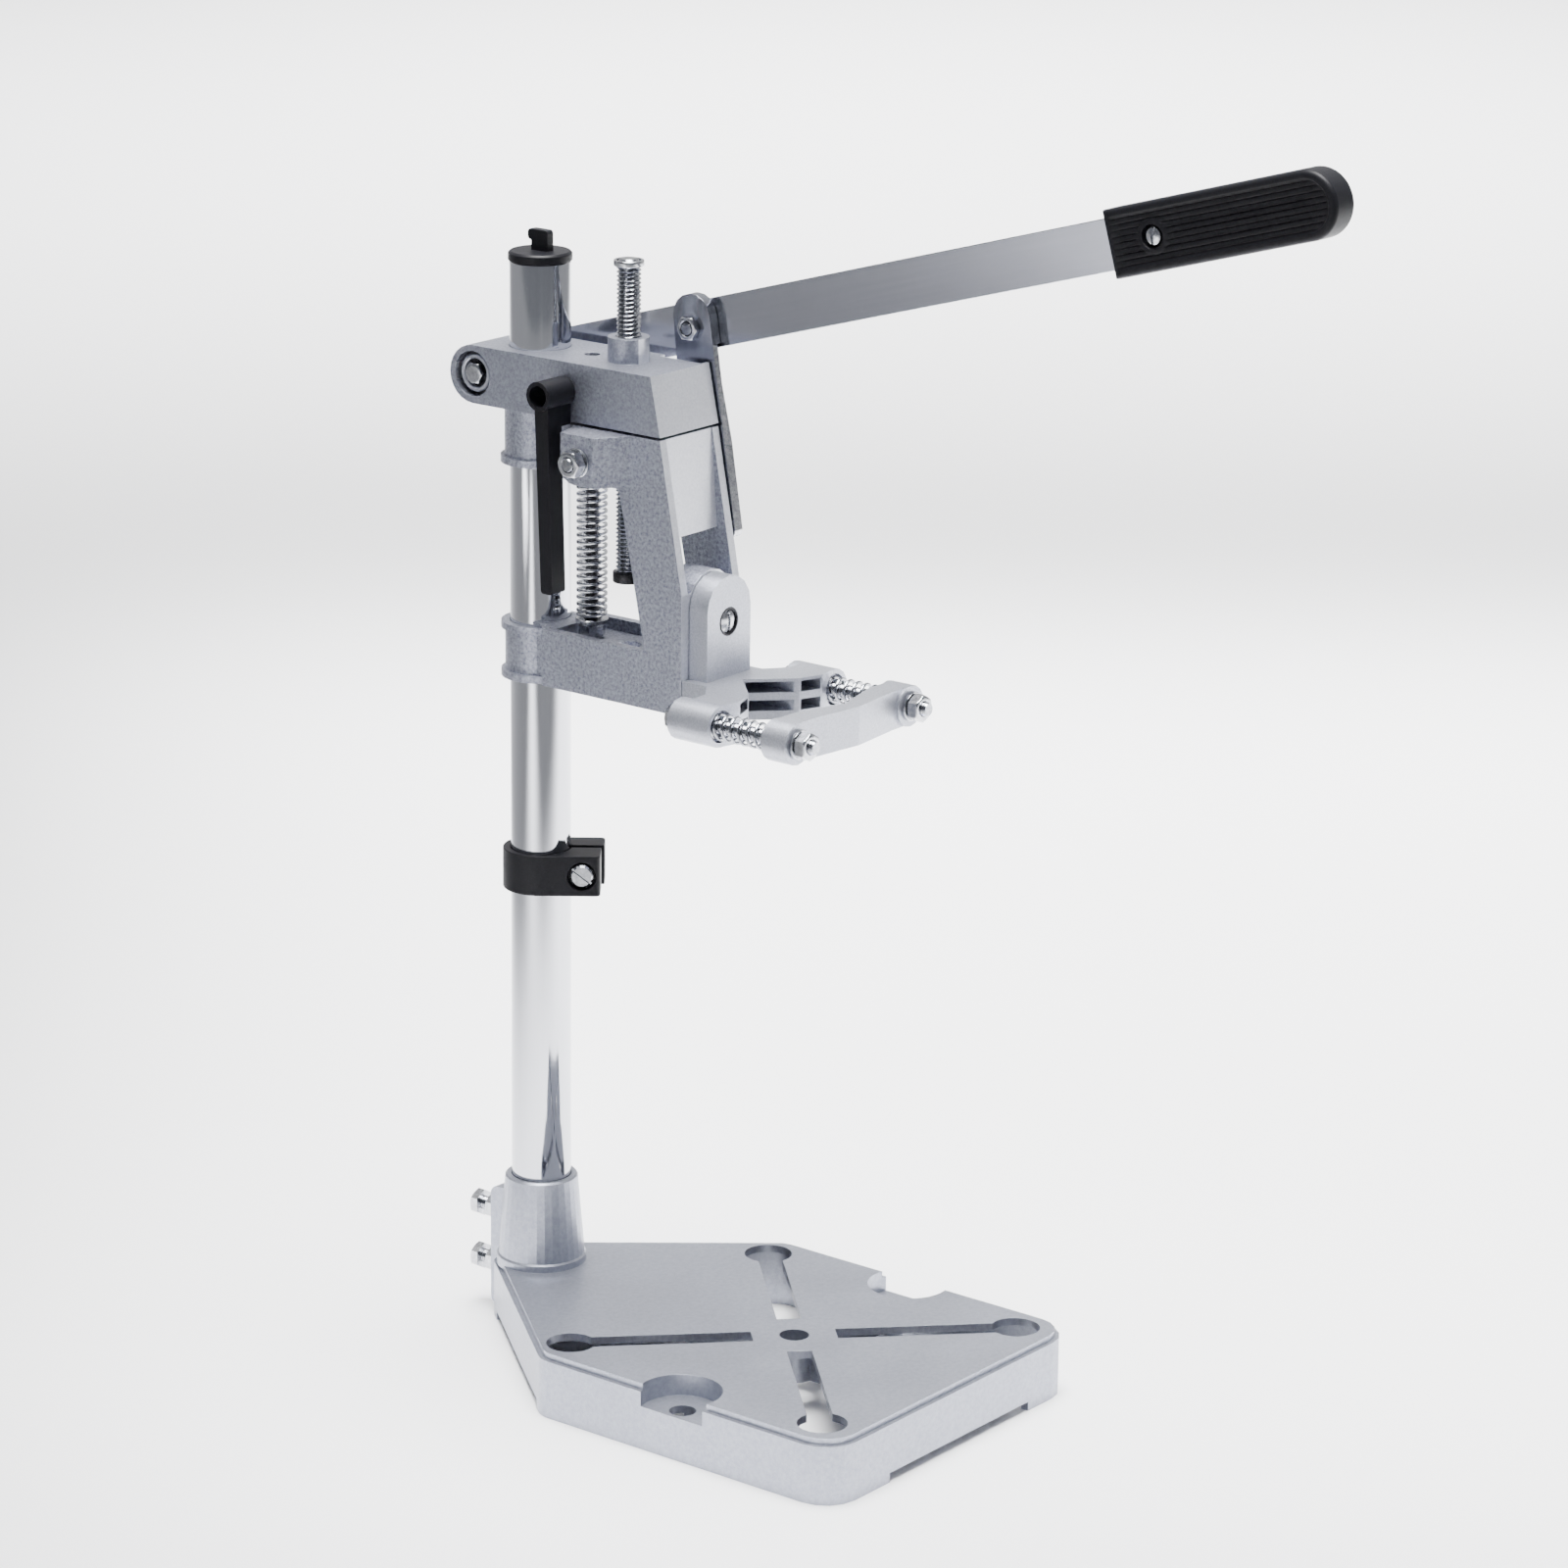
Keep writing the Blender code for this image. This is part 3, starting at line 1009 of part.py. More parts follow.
def carriage(carrier):
    """Open casting on two sleeves: hollow upper arm, front leg and lower arm round a window."""
    frame = outline("carriage", [[
        (-CARRIAGE_REAR_REACH, CARRIAGE_BOTTOM), (-CARRIAGE_FACE_REACH, CARRIAGE_BOTTOM),
        (-CARRIAGE_FACE_REACH, CARRIAGE_FACE_TOP), (-CARRIAGE_TOP_REACH, CARRIAGE_TOP),
        (-CARRIAGE_REAR_REACH, CARRIAGE_TOP)], fillet([
            (-WINDOW_REAR_REACH / 2, WINDOW_BOTTOM, 0),
            (-WINDOW_LOWER_REACH, WINDOW_BOTTOM, WINDOW_CORNER_RADIUS),
            (-WINDOW_UPPER_REACH, WINDOW_TOP, WINDOW_CORNER_RADIUS),
            (-WINDOW_REAR_REACH / 2, WINDOW_TOP, 0)])],
        "X", -CARRIAGE_HALF_WIDTH, CARRIAGE_HALF_WIDTH)
    wide = CARRIAGE_HALF_WIDTH + OVERRUN
    inner = CARRIAGE_HALF_WIDTH - CARRIAGE_WALL
    cut(frame, box("window_back", (-wide, -WINDOW_REAR_REACH, WINDOW_BOTTOM),
                   (wide, 0, WINDOW_TOP)))
    for side in (-1, 1):
        cut(frame, box("neck_side", (min(side * NECK_HALF_WIDTH, side * wide), -NECK_FRONT_REACH,
                                     CARRIAGE_BOTTOM - OVERRUN),
                       (max(side * NECK_HALF_WIDTH, side * wide), OVERRUN,
                        CARRIAGE_TOP + OVERRUN)))
    hollow_rear = -NECK_FRONT_REACH - CARRIAGE_WALL
    leg_top = WINDOW_TOP - OVERRUN
    panel_top = CARRIAGE_TOP_REACH - PANEL_TOP_SETBACK
    slant = (PANEL_FOOT_REACH - panel_top) / (CARRIAGE_TOP - FRONT_OPENING_TOP)
    leg_front = PANEL_FOOT_REACH - slant * (leg_top - FRONT_OPENING_TOP) - PANEL_THICKNESS
    beyond = -CARRIAGE_FACE_REACH - OVERRUN
    cut(frame,
        outline("upper_hollow", [[
            (-CARRIAGE_TOP_REACH + CARRIAGE_WALL, CARRIAGE_TOP + OVERRUN),
            (hollow_rear, CARRIAGE_TOP + OVERRUN), (hollow_rear, WINDOW_TOP + CARRIAGE_WALL),
            (-CARRIAGE_TOP_REACH + CARRIAGE_WALL, WINDOW_TOP + CARRIAGE_WALL)]],
            "X", -inner, inner),
        outline("leg_hollow", [[
            (hollow_rear, LOWER_FLOOR_TOP), (hollow_rear, WINDOW_BOTTOM + OVERRUN),
            (-WINDOW_LOWER_REACH + OVERRUN, WINDOW_BOTTOM + OVERRUN),
            (-WINDOW_UPPER_REACH + OVERRUN, leg_top), (-leg_front, leg_top),
            (PANEL_THICKNESS - PANEL_FOOT_REACH, FRONT_OPENING_TOP),
            (beyond, FRONT_OPENING_TOP), (beyond, FRONT_OPENING_BOTTOM),
            (-CARRIAGE_FACE_REACH + CARRIAGE_WALL, FRONT_OPENING_BOTTOM),
            (-CARRIAGE_FACE_REACH + CARRIAGE_WALL, LOWER_FLOOR_TOP)]], "X", -inner, inner),
        outline("panel_setback", [[
            (-panel_top, CARRIAGE_TOP), (-PANEL_FOOT_REACH, FRONT_OPENING_TOP),
            (beyond, FRONT_OPENING_TOP), (beyond, CARRIAGE_TOP + OVERRUN),
            (-panel_top, CARRIAGE_TOP + OVERRUN)]], "X", -inner, inner),
        box("lower_hollow", (-inner, -CARRIAGE_FACE_REACH + CARRIAGE_WALL,
                             CARRIAGE_BOTTOM - OVERRUN),
            (inner, hollow_rear, LOWER_FLOOR_TOP - CARRIAGE_WALL)))
    join(frame, hood(inner + GAP))
    ear = outline("ear", [[
        (-CARRIAGE_HALF_WIDTH + OVERRUN, -EAR_FRONT_ROOT), (-EAR_REACH_X, -EAR_FRONT_TIP),
        (-EAR_REACH_X, -EAR_REAR_TIP), (-CARRIAGE_HALF_WIDTH + OVERRUN, -EAR_REAR_ROOT)]],
        "Z", EAR_BOTTOM, EAR_TOP)
    corner_y = -EAR_REAR_ROOT + OVERRUN
    corner = outline("ear_corner", [[
        (corner_y, EAR_BOTTOM - OVERRUN),
        *arc((-EAR_REAR_TIP - EAR_CORNER_RADIUS, EAR_BOTTOM + EAR_CORNER_RADIUS),
             EAR_CORNER_RADIUS, -math.pi / 2, 0, CORNER_STEPS),
        (corner_y, EAR_BOTTOM + EAR_CORNER_RADIUS)]], "X", -EAR_REACH_X - OVERRUN,
        -CARRIAGE_HALF_WIDTH)
    join(frame, cut(ear, corner))
    sleeves = (
        (LOWER_SLEEVE_BOTTOM, LOWER_SLEEVE_TOP, True),
        (WINDOW_TOP, CARRIAGE_TOP, False),
    )
    for bottom, top, top_lip in sleeves:
        head = top - SLEEVE_LIP_HEIGHT
        lip = SLEEVE_LIP_RADIUS if top_lip else SLEEVE_RADIUS
        profile = [(0, top), (lip, top), (lip, head), (SLEEVE_RADIUS, head)]
        if not top_lip:
            profile = [(0, top), (lip, top)]
        profile += [(SLEEVE_RADIUS, bottom + SLEEVE_LIP_HEIGHT),
                    (SLEEVE_LIP_RADIUS, bottom + SLEEVE_LIP_HEIGHT),
                    (SLEEVE_LIP_RADIUS, bottom), (0, bottom)]
        join(frame, turned("sleeve", profile, (0, 0, 0), (0, 0, 1), TUBE_SEGMENTS))
        cut(frame, rod("sleeve_bore", BORE_RADIUS, (0, 0, bottom - OVERRUN),
                       (0, 0, top + OVERRUN), TUBE_SEGMENTS))
    rod_hole = DEPTH_ROD_RADIUS + 2 * GAP
    cut(frame,
        rod("spring_rod_hole", BOLT_HOLE, (0, -SPRING_ROD_REACH, WINDOW_TOP - OVERRUN),
            (0, -SPRING_ROD_REACH, CARRIAGE_TOP + OVERRUN)),
        rod("depth_rod_hole", rod_hole, (0, -DEPTH_ROD_REACH, CARRIAGE_BOTTOM - OVERRUN),
            (0, -DEPTH_ROD_REACH, CARRIAGE_TOP + OVERRUN), RING_SEGMENTS),
        rod("ear_hole", BOLT_HOLE, (-EAR_REACH_X - OVERRUN, -EAR_BOLT_REACH, EAR_BOLT_HEIGHT),
            (-inner + OVERRUN, -EAR_BOLT_REACH, EAR_BOLT_HEIGHT)),
        rod("lower_pivot_hole", BOLT_HOLE, (inner - OVERRUN, -LOWER_PIVOT_REACH,
                                            LOWER_PIVOT_HEIGHT),
            (wide, -LOWER_PIVOT_REACH, LOWER_PIVOT_HEIGHT)),
        rod("tilt_hole", BOLT_HOLE, (0, -CARRIAGE_FACE_REACH - OVERRUN, TILT_HEIGHT),
            (0, -CARRIAGE_FACE_REACH + CARRIAGE_WALL + OVERRUN, TILT_HEIGHT)))
    return finish(frame, CAST_ALUMINIUM, carrier)


def ear_fasteners(carrier):
    """Bolt through the carriage's ear, its head in the arm and its nut and end outside."""
    inner = CARRIAGE_HALF_WIDTH - CARRIAGE_WALL
    washer_end = -EAR_REACH_X - GAP - WASHER_HEIGHT
    end = -EAR_REACH_X - EAR_BOLT_OUT - NUT_HEIGHT
    place = (-EAR_BOLT_REACH, EAR_BOLT_HEIGHT)
    bolt = hex_bolt("carriage_ear_bolt", (-inner + GAP, *place), (end, *place))
    finish(bolt, ZINC, carrier)
    finish(ring("carriage_ear_washer", WASHER_RADIUS, BOLT_HOLE, (washer_end, *place),
                (-EAR_REACH_X - GAP, *place)), ZINC, carrier)
    finish(nut("carriage_ear_nut", (washer_end - GAP - NUT_HEIGHT, *place),
               (washer_end - GAP, *place)), ZINC, carrier)


# Feed lever and link

def lever_points(corners):
    """Outline in (Y, Z) from corners given along the lever and across it."""
    points = []
    for along, across in fillet(corners):
        place = HANDLE_PIVOT + HANDLE_DIRECTION * along + HANDLE_UP * across
        points.append((place.y, place.z))
    return points


def lever_place(x, along):
    """World point on the lever's centre line."""
    return HANDLE_PIVOT + HANDLE_DIRECTION * along + AXES["X"] * x


def handle(carrier):
    half = HANDLE_BAR_WIDTH / 2
    bar = outline("handle_bar", [lever_points([
        (-half, -half, half - GAP), (BAR_IN_GRIP_REACH, -half, half / 2),
        (BAR_IN_GRIP_REACH, half, half / 2), (-half, half, half - GAP)])],
        "X", HANDLE_INNER_X, HANDLE_OUTER_X)
    for reach in (0, HANDLE_PIVOT_TO_LINK, GRIP_SCREW_REACH):
        cut(bar, rod("bar_hole", BOLT_HOLE, lever_place(HANDLE_INNER_X - OVERRUN, reach),
                     lever_place(HANDLE_OUTER_X + OVERRUN, reach)))
    finish(bar, SMOOTH_ALUMINIUM, carrier)
    half = GRIP_WIDTH / 2
    corners = [(GRIP_START, -half, GRIP_TAIL_RADIUS), (GRIP_END, -half, GRIP_NOSE_RADIUS),
               (GRIP_END, half, GRIP_NOSE_RADIUS), (GRIP_START, half, GRIP_TAIL_RADIUS)]
    sides = (("grip_near", HANDLE_INNER_X - GAP - GRIP_HALF_THICKNESS, HANDLE_INNER_X - GAP, 0),
             ("grip_far", HANDLE_OUTER_X + GAP, HANDLE_OUTER_X + GAP + GRIP_HALF_THICKNESS, 1))
    for name, low, high, far in sides:
        grip = outline(name, [lever_points(corners)], "X", low, high)
        face = high if far else low
        floor = face - GRIP_RECESS_DEPTH if far else face + GRIP_RECESS_DEPTH
        outside = face + OVERRUN if far else face - OVERRUN
        cut(grip, rod("grip_hole", BOLT_HOLE, lever_place(low - OVERRUN, GRIP_SCREW_REACH),
                      lever_place(high + OVERRUN, GRIP_SCREW_REACH)),
            rod("grip_recess", GRIP_RECESS_RADIUS, lever_place(floor, GRIP_SCREW_REACH),
                lever_place(outside, GRIP_SCREW_REACH), RING_SEGMENTS))
        finish(grip, BLACK_PLASTIC, carrier)
    near_floor = HANDLE_INNER_X - GAP - GRIP_HALF_THICKNESS + GRIP_RECESS_DEPTH
    far_floor = HANDLE_OUTER_X + GAP + GRIP_HALF_THICKNESS - GRIP_RECESS_DEPTH
    head = GRIP_RECESS_DEPTH - 2 * GAP
    screw = pan_screw("grip_screw", lever_place(near_floor - GAP, GRIP_SCREW_REACH),
                      lever_place(far_floor + head, GRIP_SCREW_REACH), BOLT_RADIUS / 2,
                      GRIP_SCREW_HEAD_RADIUS, head)
    finish(screw, ZINC, carrier)
    finish(nut("grip_nut", lever_place(far_floor + GAP, GRIP_SCREW_REACH),
               lever_place(far_floor + head, GRIP_SCREW_REACH), 2 * GRIP_SCREW_HEAD_RADIUS,
               BOLT_RADIUS / 2), ZINC, carrier)


def link_place(x, down, back=0):
    """World point from an X place, a distance down the link and one towards its open side."""
    return LINK_PIVOT + LINK_DOWN * down + LINK_BACK * back + AXES["X"] * x


def link_points(corners):
    """Outline in (Y, Z) from corners given down the link and towards its open side."""
    places = [link_place(0, down, back) for down, back in fillet(corners)]
    return [(place.y, place.z) for place in places]


def link(carrier):
    """Folded channel that pulls the carriage: two leaves and a web that wraps over the top."""
    top, bottom = -LINK_TOP_REACH, LINK_PIVOTS + LINK_BOTTOM_REACH
    corners = [(top, -LINK_WEB_TOP_REACH, LINK_TOP_CORNER_RADIUS),
               (bottom, -LINK_WEB_BOTTOM_REACH, LINK_CORNER_RADIUS),
               (bottom, LINK_REAR_REACH, LINK_CORNER_RADIUS),
               (top, LINK_REAR_REACH, LINK_TOP_CORNER_RADIUS)]
    channel = outline("link", [link_points(corners)], "X", LINK_INNER_X, LINK_OUTER_X)
    inner_radius = LINK_TOP_CORNER_RADIUS - LINK_SHEET
    rim_end = top + LINK_TOP_CORNER_RADIUS + LINK_SHEET
    cut(channel, outline("channel_inside", [link_points([
        (top + LINK_SHEET, LINK_SHEET - LINK_WEB_TOP_REACH, inner_radius),
        (bottom + OVERRUN, LINK_SHEET - LINK_WEB_BOTTOM_REACH, 0),
        (bottom + OVERRUN, LINK_REAR_REACH + OVERRUN, 0),
        (rim_end, LINK_REAR_REACH + OVERRUN, 0), (rim_end, LINK_REAR_REACH - LINK_SHEET, 0),
        (top + LINK_SHEET, LINK_REAR_REACH - LINK_SHEET, inner_radius)])],
        "X", LINK_INNER_X + LINK_SHEET, LINK_OUTER_X - LINK_SHEET))
    cut(channel, outline("web_notch", [link_points([
        (LINK_NOTCH_START, -LINK_WEB_BOTTOM_REACH, 0),
        (LINK_NOTCH_END, -2 * LINK_WEB_BOTTOM_REACH, 0),
        (LINK_NOTCH_END, LINK_SHEET - LINK_WEB_BOTTOM_REACH, 0),
        (LINK_NOTCH_START, LINK_SHEET - LINK_WEB_TOP_REACH, 0)])], "X",
        LINK_NOTCH_X, LINK_OUTER_X + OVERRUN))
    outside = (LINK_INNER_X - OVERRUN, LINK_OUTER_X + OVERRUN)
    cut(channel, rod("link_top_hole", BOLT_HOLE, link_place(outside[0], 0),
                     link_place(outside[1], 0)))
    half, height = LOOP_SLOT_HALF_LENGTH, BOLT_HOLE + GAP
    middle = Vector((-LOWER_PIVOT_REACH, LOWER_PIVOT_HEIGHT))
    loop = [(middle.x + u, middle.y + v) for u, v in fillet([
        (-half, -height, height - GAP), (half, -height, height - GAP),
        (half, height, height - GAP), (-half, height, height - GAP)])]
    cut(channel, outline("loop_slot", [loop], "X", *outside))
    return finish(channel, SMOOTH_ALUMINIUM, carrier)


def link_top_fasteners(carrier):
    """Bolt that hangs the link on the lever, a spacer in the link and a washer past the bar."""
    far = HANDLE_OUTER_X + GAP + WASHER_HEIGHT
    near = LINK_INNER_X - GAP
    bolt = hex_bolt("link_top_bolt", link_place(far + GAP, 0), link_place(near - LINK_NUT_HEIGHT, 0))
    finish(bolt, ZINC, carrier)
    finish(nut("link_top_nut", link_place(near - LINK_NUT_HEIGHT, 0), link_place(near, 0),
               LINK_NUT_HEX), ZINC, carrier)
    finish(ring("link_top_spacer", WASHER_RADIUS, BOLT_HOLE,
                link_place(LINK_INNER_X + LINK_SHEET + GAP, 0),
                link_place(LINK_OUTER_X - LINK_SHEET - GAP, 0)), ZINC, carrier)
    finish(ring("link_top_washer", WASHER_RADIUS, BOLT_HOLE, link_place(HANDLE_OUTER_X + GAP, 0),
                link_place(far, 0)), ZINC, carrier)


def link_bottom_fasteners(carrier):
    """Bolt in the carriage that the link's lower slot rides on, with its spacer and nut."""
    inner = CARRIAGE_HALF_WIDTH - CARRIAGE_WALL
    place = (-LOWER_PIVOT_REACH, LOWER_PIVOT_HEIGHT)
    nut_far = inner - GAP
    nut_near = nut_far - NUT_HEIGHT
    finish(hex_bolt("link_bottom_bolt", (LINK_OUTER_X + GAP, *place), (nut_near - GAP, *place)),
           ZINC, carrier)
    finish(nut("link_bottom_nut", (nut_near, *place), (nut_far, *place)), ZINC, carrier)
    finish(ring("link_bottom_spacer", WASHER_RADIUS, BOLT_HOLE,
                (LINK_INNER_X + LINK_SHEET + GAP, *place),
                (LINK_OUTER_X - LINK_SHEET - GAP, *place)), ZINC, carrier)


# Tool head and front jaw

def mirrored(half):
    """Closed outline from its +X half, listed from front to rear: the other half follows."""
    return half + [(-x, y) for x, y in reversed(half) if x > 0]


def tool_head(carrier):
    """Tab on the carriage's face with the rear jaw under it."""
    tab = outline("tool_head", [[
        (-TAB_HALF_WIDTH, JAW_BOTTOM), (TAB_HALF_WIDTH, JAW_BOTTOM),
        *arc((0, TAB_ROUND_HEIGHT), TAB_HALF_WIDTH, 0, math.pi, RING_SEGMENTS // 2)]],
        "Y", -TAB_FRONT, -TAB_BACK)
    notch_reach = JAW_APEX_REACH + JAW_NOTCH_HALF_WIDTH
    jaw = outline("rear_jaw", [mirrored([
        (0, -JAW_APEX_REACH), (JAW_NOTCH_HALF_WIDTH, -notch_reach),
        (JAW_TIP_HALF_WIDTH, -JAW_TIP_REACH), (JAW_ARM_END, -JAW_EAR_FRONT + GAP),
        (JAW_ARM_END, -JAW_ARM_REACH), (JAW_ARM_HALF_WIDTH, -JAW_ARM_REACH),
        (JAW_SHOULDER_HALF_WIDTH, -JAW_SHOULDER_REACH), (JAW_SHOULDER_HALF_WIDTH, -TAB_BACK)])],
        "Z", JAW_BOTTOM, JAW_TOP)
    wall, front = JAW_POCKET_WALL, JAW_TIP_REACH + OVERRUN
    pockets = []
    for side in (-1, 1):
        inner, outer = side * JAW_APEX_HALF_RIB, side * (JAW_NOTCH_HALF_WIDTH - JAW_HALF_RIB)
        pockets.append([(inner, -TAB_BACK - wall), (outer, -TAB_BACK - wall), (outer, -front),
                        (inner, -front)])
        inner = side * (JAW_NOTCH_HALF_WIDTH + JAW_HALF_RIB)
        outer = side * (JAW_TIP_HALF_WIDTH - JAW_HALF_RIB)
        pockets.append([(inner, -JAW_SHOULDER_REACH - wall), (outer, -JAW_ARM_REACH - wall),
                        (outer, -front), (inner, -front)])
    upper = JAW_TOP - JAW_SKIN
    lower = upper - JAW_POCKET_HEIGHT - JAW_WEB
    cut(jaw, outline("upper_pockets", pockets, "Z", upper - JAW_POCKET_HEIGHT, upper),
        outline("lower_pockets", pockets, "Z", lower - JAW_POCKET_HEIGHT, lower))
    join(tab, jaw)
    for side in (-1, 1):
        ear = (side * JAW_EAR_OFFSET, JAW_MIDDLE)
        join(tab, rod("jaw_ear", JAW_EAR_RADIUS, (ear[0], -JAW_EAR_FRONT, ear[1]),
                      (ear[0], -JAW_EAR_REAR, ear[1]), RING_SEGMENTS))
        cut(tab, rod("jaw_bolt_hole", BOLT_HOLE, (ear[0], -JAW_TIP_REACH - OVERRUN, ear[1]),
                     (ear[0], -JAW_EAR_REAR + OVERRUN, ear[1])),
            rod("spring_seat", JAW_SPRING_SEAT_RADIUS, (ear[0], -JAW_TIP_REACH, ear[1]),
                (ear[0], -JAW_EAR_FRONT + JAW_SPRING_SEAT_DEPTH, ear[1]), RING_SEGMENTS))
    cut(tab, rod("tab_hole", BOLT_HOLE, (0, -TAB_FRONT - OVERRUN, TILT_HEIGHT),
                 (0, -TAB_BACK + OVERRUN, TILT_HEIGHT)),
        rod("tab_recess", TAB_RECESS_RADIUS, (0, -TAB_FRONT - OVERRUN, TILT_HEIGHT),
            (0, -TAB_FRONT + TAB_RECESS_DEPTH, TILT_HEIGHT), RING_SEGMENTS))
    return finish(tab, CAST_ALUMINIUM, carrier)


def tilt_fasteners(carrier):
    """Screw that the tool head tilts on, with washer and nut inside the carriage."""
    inside = -CARRIAGE_FACE_REACH + CARRIAGE_WALL
    washer_end = inside + GAP + WASHER_HEIGHT
    nut_end = washer_end + GAP + NUT_HEIGHT
    seat = -TAB_FRONT + TAB_RECESS_DEPTH - GAP
    screw = pan_screw("tilt_bolt", (0, seat, TILT_HEIGHT), (0, nut_end + GAP, TILT_HEIGHT),
                      BOLT_RADIUS, TILT_SCREW_HEAD_RADIUS, TAB_RECESS_DEPTH)
    finish(screw, ZINC, carrier)
    finish(ring("tilt_washer", WASHER_RADIUS, BOLT_HOLE, (0, inside + GAP, TILT_HEIGHT),
                (0, washer_end, TILT_HEIGHT)), ZINC, carrier)
    finish(nut("tilt_nut", (0, washer_end + GAP, TILT_HEIGHT), (0, nut_end, TILT_HEIGHT)),
           ZINC, carrier)


def front_jaw(carrier):
    """Bar across the jaw bolts, bulged in front and with a shallow notch behind."""
    low = JAW_MIDDLE - FRONT_JAW_HEIGHT / 2
    jaw = outline("front_jaw", [mirrored([
        (0, -FRONT_JAW_BULGE_REACH), (FRONT_JAW_SHOULDER_HALF_WIDTH / 2,
                                      -(FRONT_JAW_BULGE_REACH + FRONT_JAW_SHOULDER_REACH) / 2),
        (FRONT_JAW_SHOULDER_HALF_WIDTH, -FRONT_JAW_SHOULDER_REACH),
        (JAW_ARM_END, -FRONT_JAW_SHOULDER_REACH + GAP), (JAW_ARM_END, -FRONT_JAW_REAR - GAP),
        (FRONT_JAW_NOTCH_HALF_WIDTH, -FRONT_JAW_REAR - GAP), (0, -FRONT_JAW_APEX_REACH)])],
        "Z", low, low + FRONT_JAW_HEIGHT)
    for side in (-1, 1):
        x = side * JAW_EAR_OFFSET
        join(jaw, rod("front_ear", JAW_EAR_RADIUS, (x, -FRONT_JAW_EAR_FRONT, JAW_MIDDLE),
                      (x, -FRONT_JAW_REAR, JAW_MIDDLE), RING_SEGMENTS))
        cut(jaw, rod("front_ear_hole", BOLT_HOLE, (x, -FRONT_JAW_EAR_FRONT - OVERRUN, JAW_MIDDLE),
                     (x, -FRONT_JAW_REAR + OVERRUN, JAW_MIDDLE)))
    return finish(jaw, CAST_ALUMINIUM, carrier)


def jaw_fasteners(head, front):
    """Two long bolts through both jaws, the springs between them, and washers and nuts in front."""
    washer_rear = -FRONT_JAW_EAR_FRONT - GAP
    nut_rear = washer_rear - WASHER_HEIGHT - GAP
    for side, x in (("near", -JAW_EAR_OFFSET), ("far", JAW_EAR_OFFSET)):
        finish(hex_bolt("jaw_bolt_" + side, (x, -JAW_EAR_REAR + GAP, JAW_MIDDLE),
                        (x, -JAW_BOLT_END, JAW_MIDDLE)), ZINC, head)
        seat = -JAW_EAR_FRONT + JAW_SPRING_SEAT_DEPTH - GAP
        finish(coil("jaw_spring_" + side, (x, seat, JAW_MIDDLE),
                    (x, -FRONT_JAW_REAR + GAP, JAW_MIDDLE), JAW_SPRING_COIL_RADIUS,
                    JAW_SPRING_WIRE, JAW_SPRING_CURLS), ZINC, head)
        finish(ring("jaw_washer_" + side, WASHER_RADIUS, BOLT_HOLE,
                    (x, washer_rear - WASHER_HEIGHT, JAW_MIDDLE),
                    (x, washer_rear, JAW_MIDDLE)), ZINC, front)
        finish(nut("jaw_nut_" + side, (x, nut_rear - NUT_HEIGHT, JAW_MIDDLE),
                   (x, nut_rear, JAW_MIDDLE)), ZINC, front)


def build():
    base_casting()
    socket_fasteners()
    swivel = joint_empty("column_swivel", (0, 0, COLUMN_BOTTOM))
    column(swivel)
    column_cap(swivel)
    stop_collar(joint_empty("collar_slide", (0, 0, COLLAR_BOTTOM), swivel))
    head = joint_empty("head_height", (0, 0, HEAD_BOTTOM), swivel)
    head_block(head)
    handle_pivot(head)
    clamp_stud(head)
    clamp_lever(joint_empty("clamp_turn", (0, -CLAMP_REACH, CLAMP_HEIGHT), head))
    feed = joint_empty("carriage_feed", (0, 0, CARRIAGE_BOTTOM), head)
    return_spring(head)
    depth_rod(joint_empty("depth_rod_height", (0, -DEPTH_ROD_REACH, DEPTH_ROD_BOTTOM), head))
    carriage(feed)
    ear_fasteners(feed)
    link_bottom_fasteners(feed)
    lever = joint_empty("handle_turn", HANDLE_PIVOT, head)
    handle(lever)
    hanger = joint_empty("link_turn", LINK_PIVOT, lever)
    link(hanger)
    link_top_fasteners(hanger)
    tilt = joint_empty("tool_head_tilt", (0, -TAB_BACK, TILT_HEIGHT), feed)
    tool_head(tilt)
    tilt_fasteners(feed)
    jaw = joint_empty("front_jaw_slide", (0, -FRONT_JAW_REAR, JAW_MIDDLE), tilt)
    front_jaw(jaw)
    jaw_fasteners(tilt, jaw)


build()
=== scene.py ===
"""Studio picture of a bench drill stand, built on its CAD frame.

Metres, +Z up, the origin on the column's axis at the table, -Y the front and +X the lever's side.
Cast and moulded pieces are merged copies of their CAD solids with rounded edges; the column, the
springs, the threads, the fasteners and the grips are surfaces worked out on a grid. Only the
collar's screw and nut and the clamp lever's stud keep their CAD meshes.
"""
import json
import math

import bmesh
import bpy
import numpy as np
from mathutils import Matrix, Vector

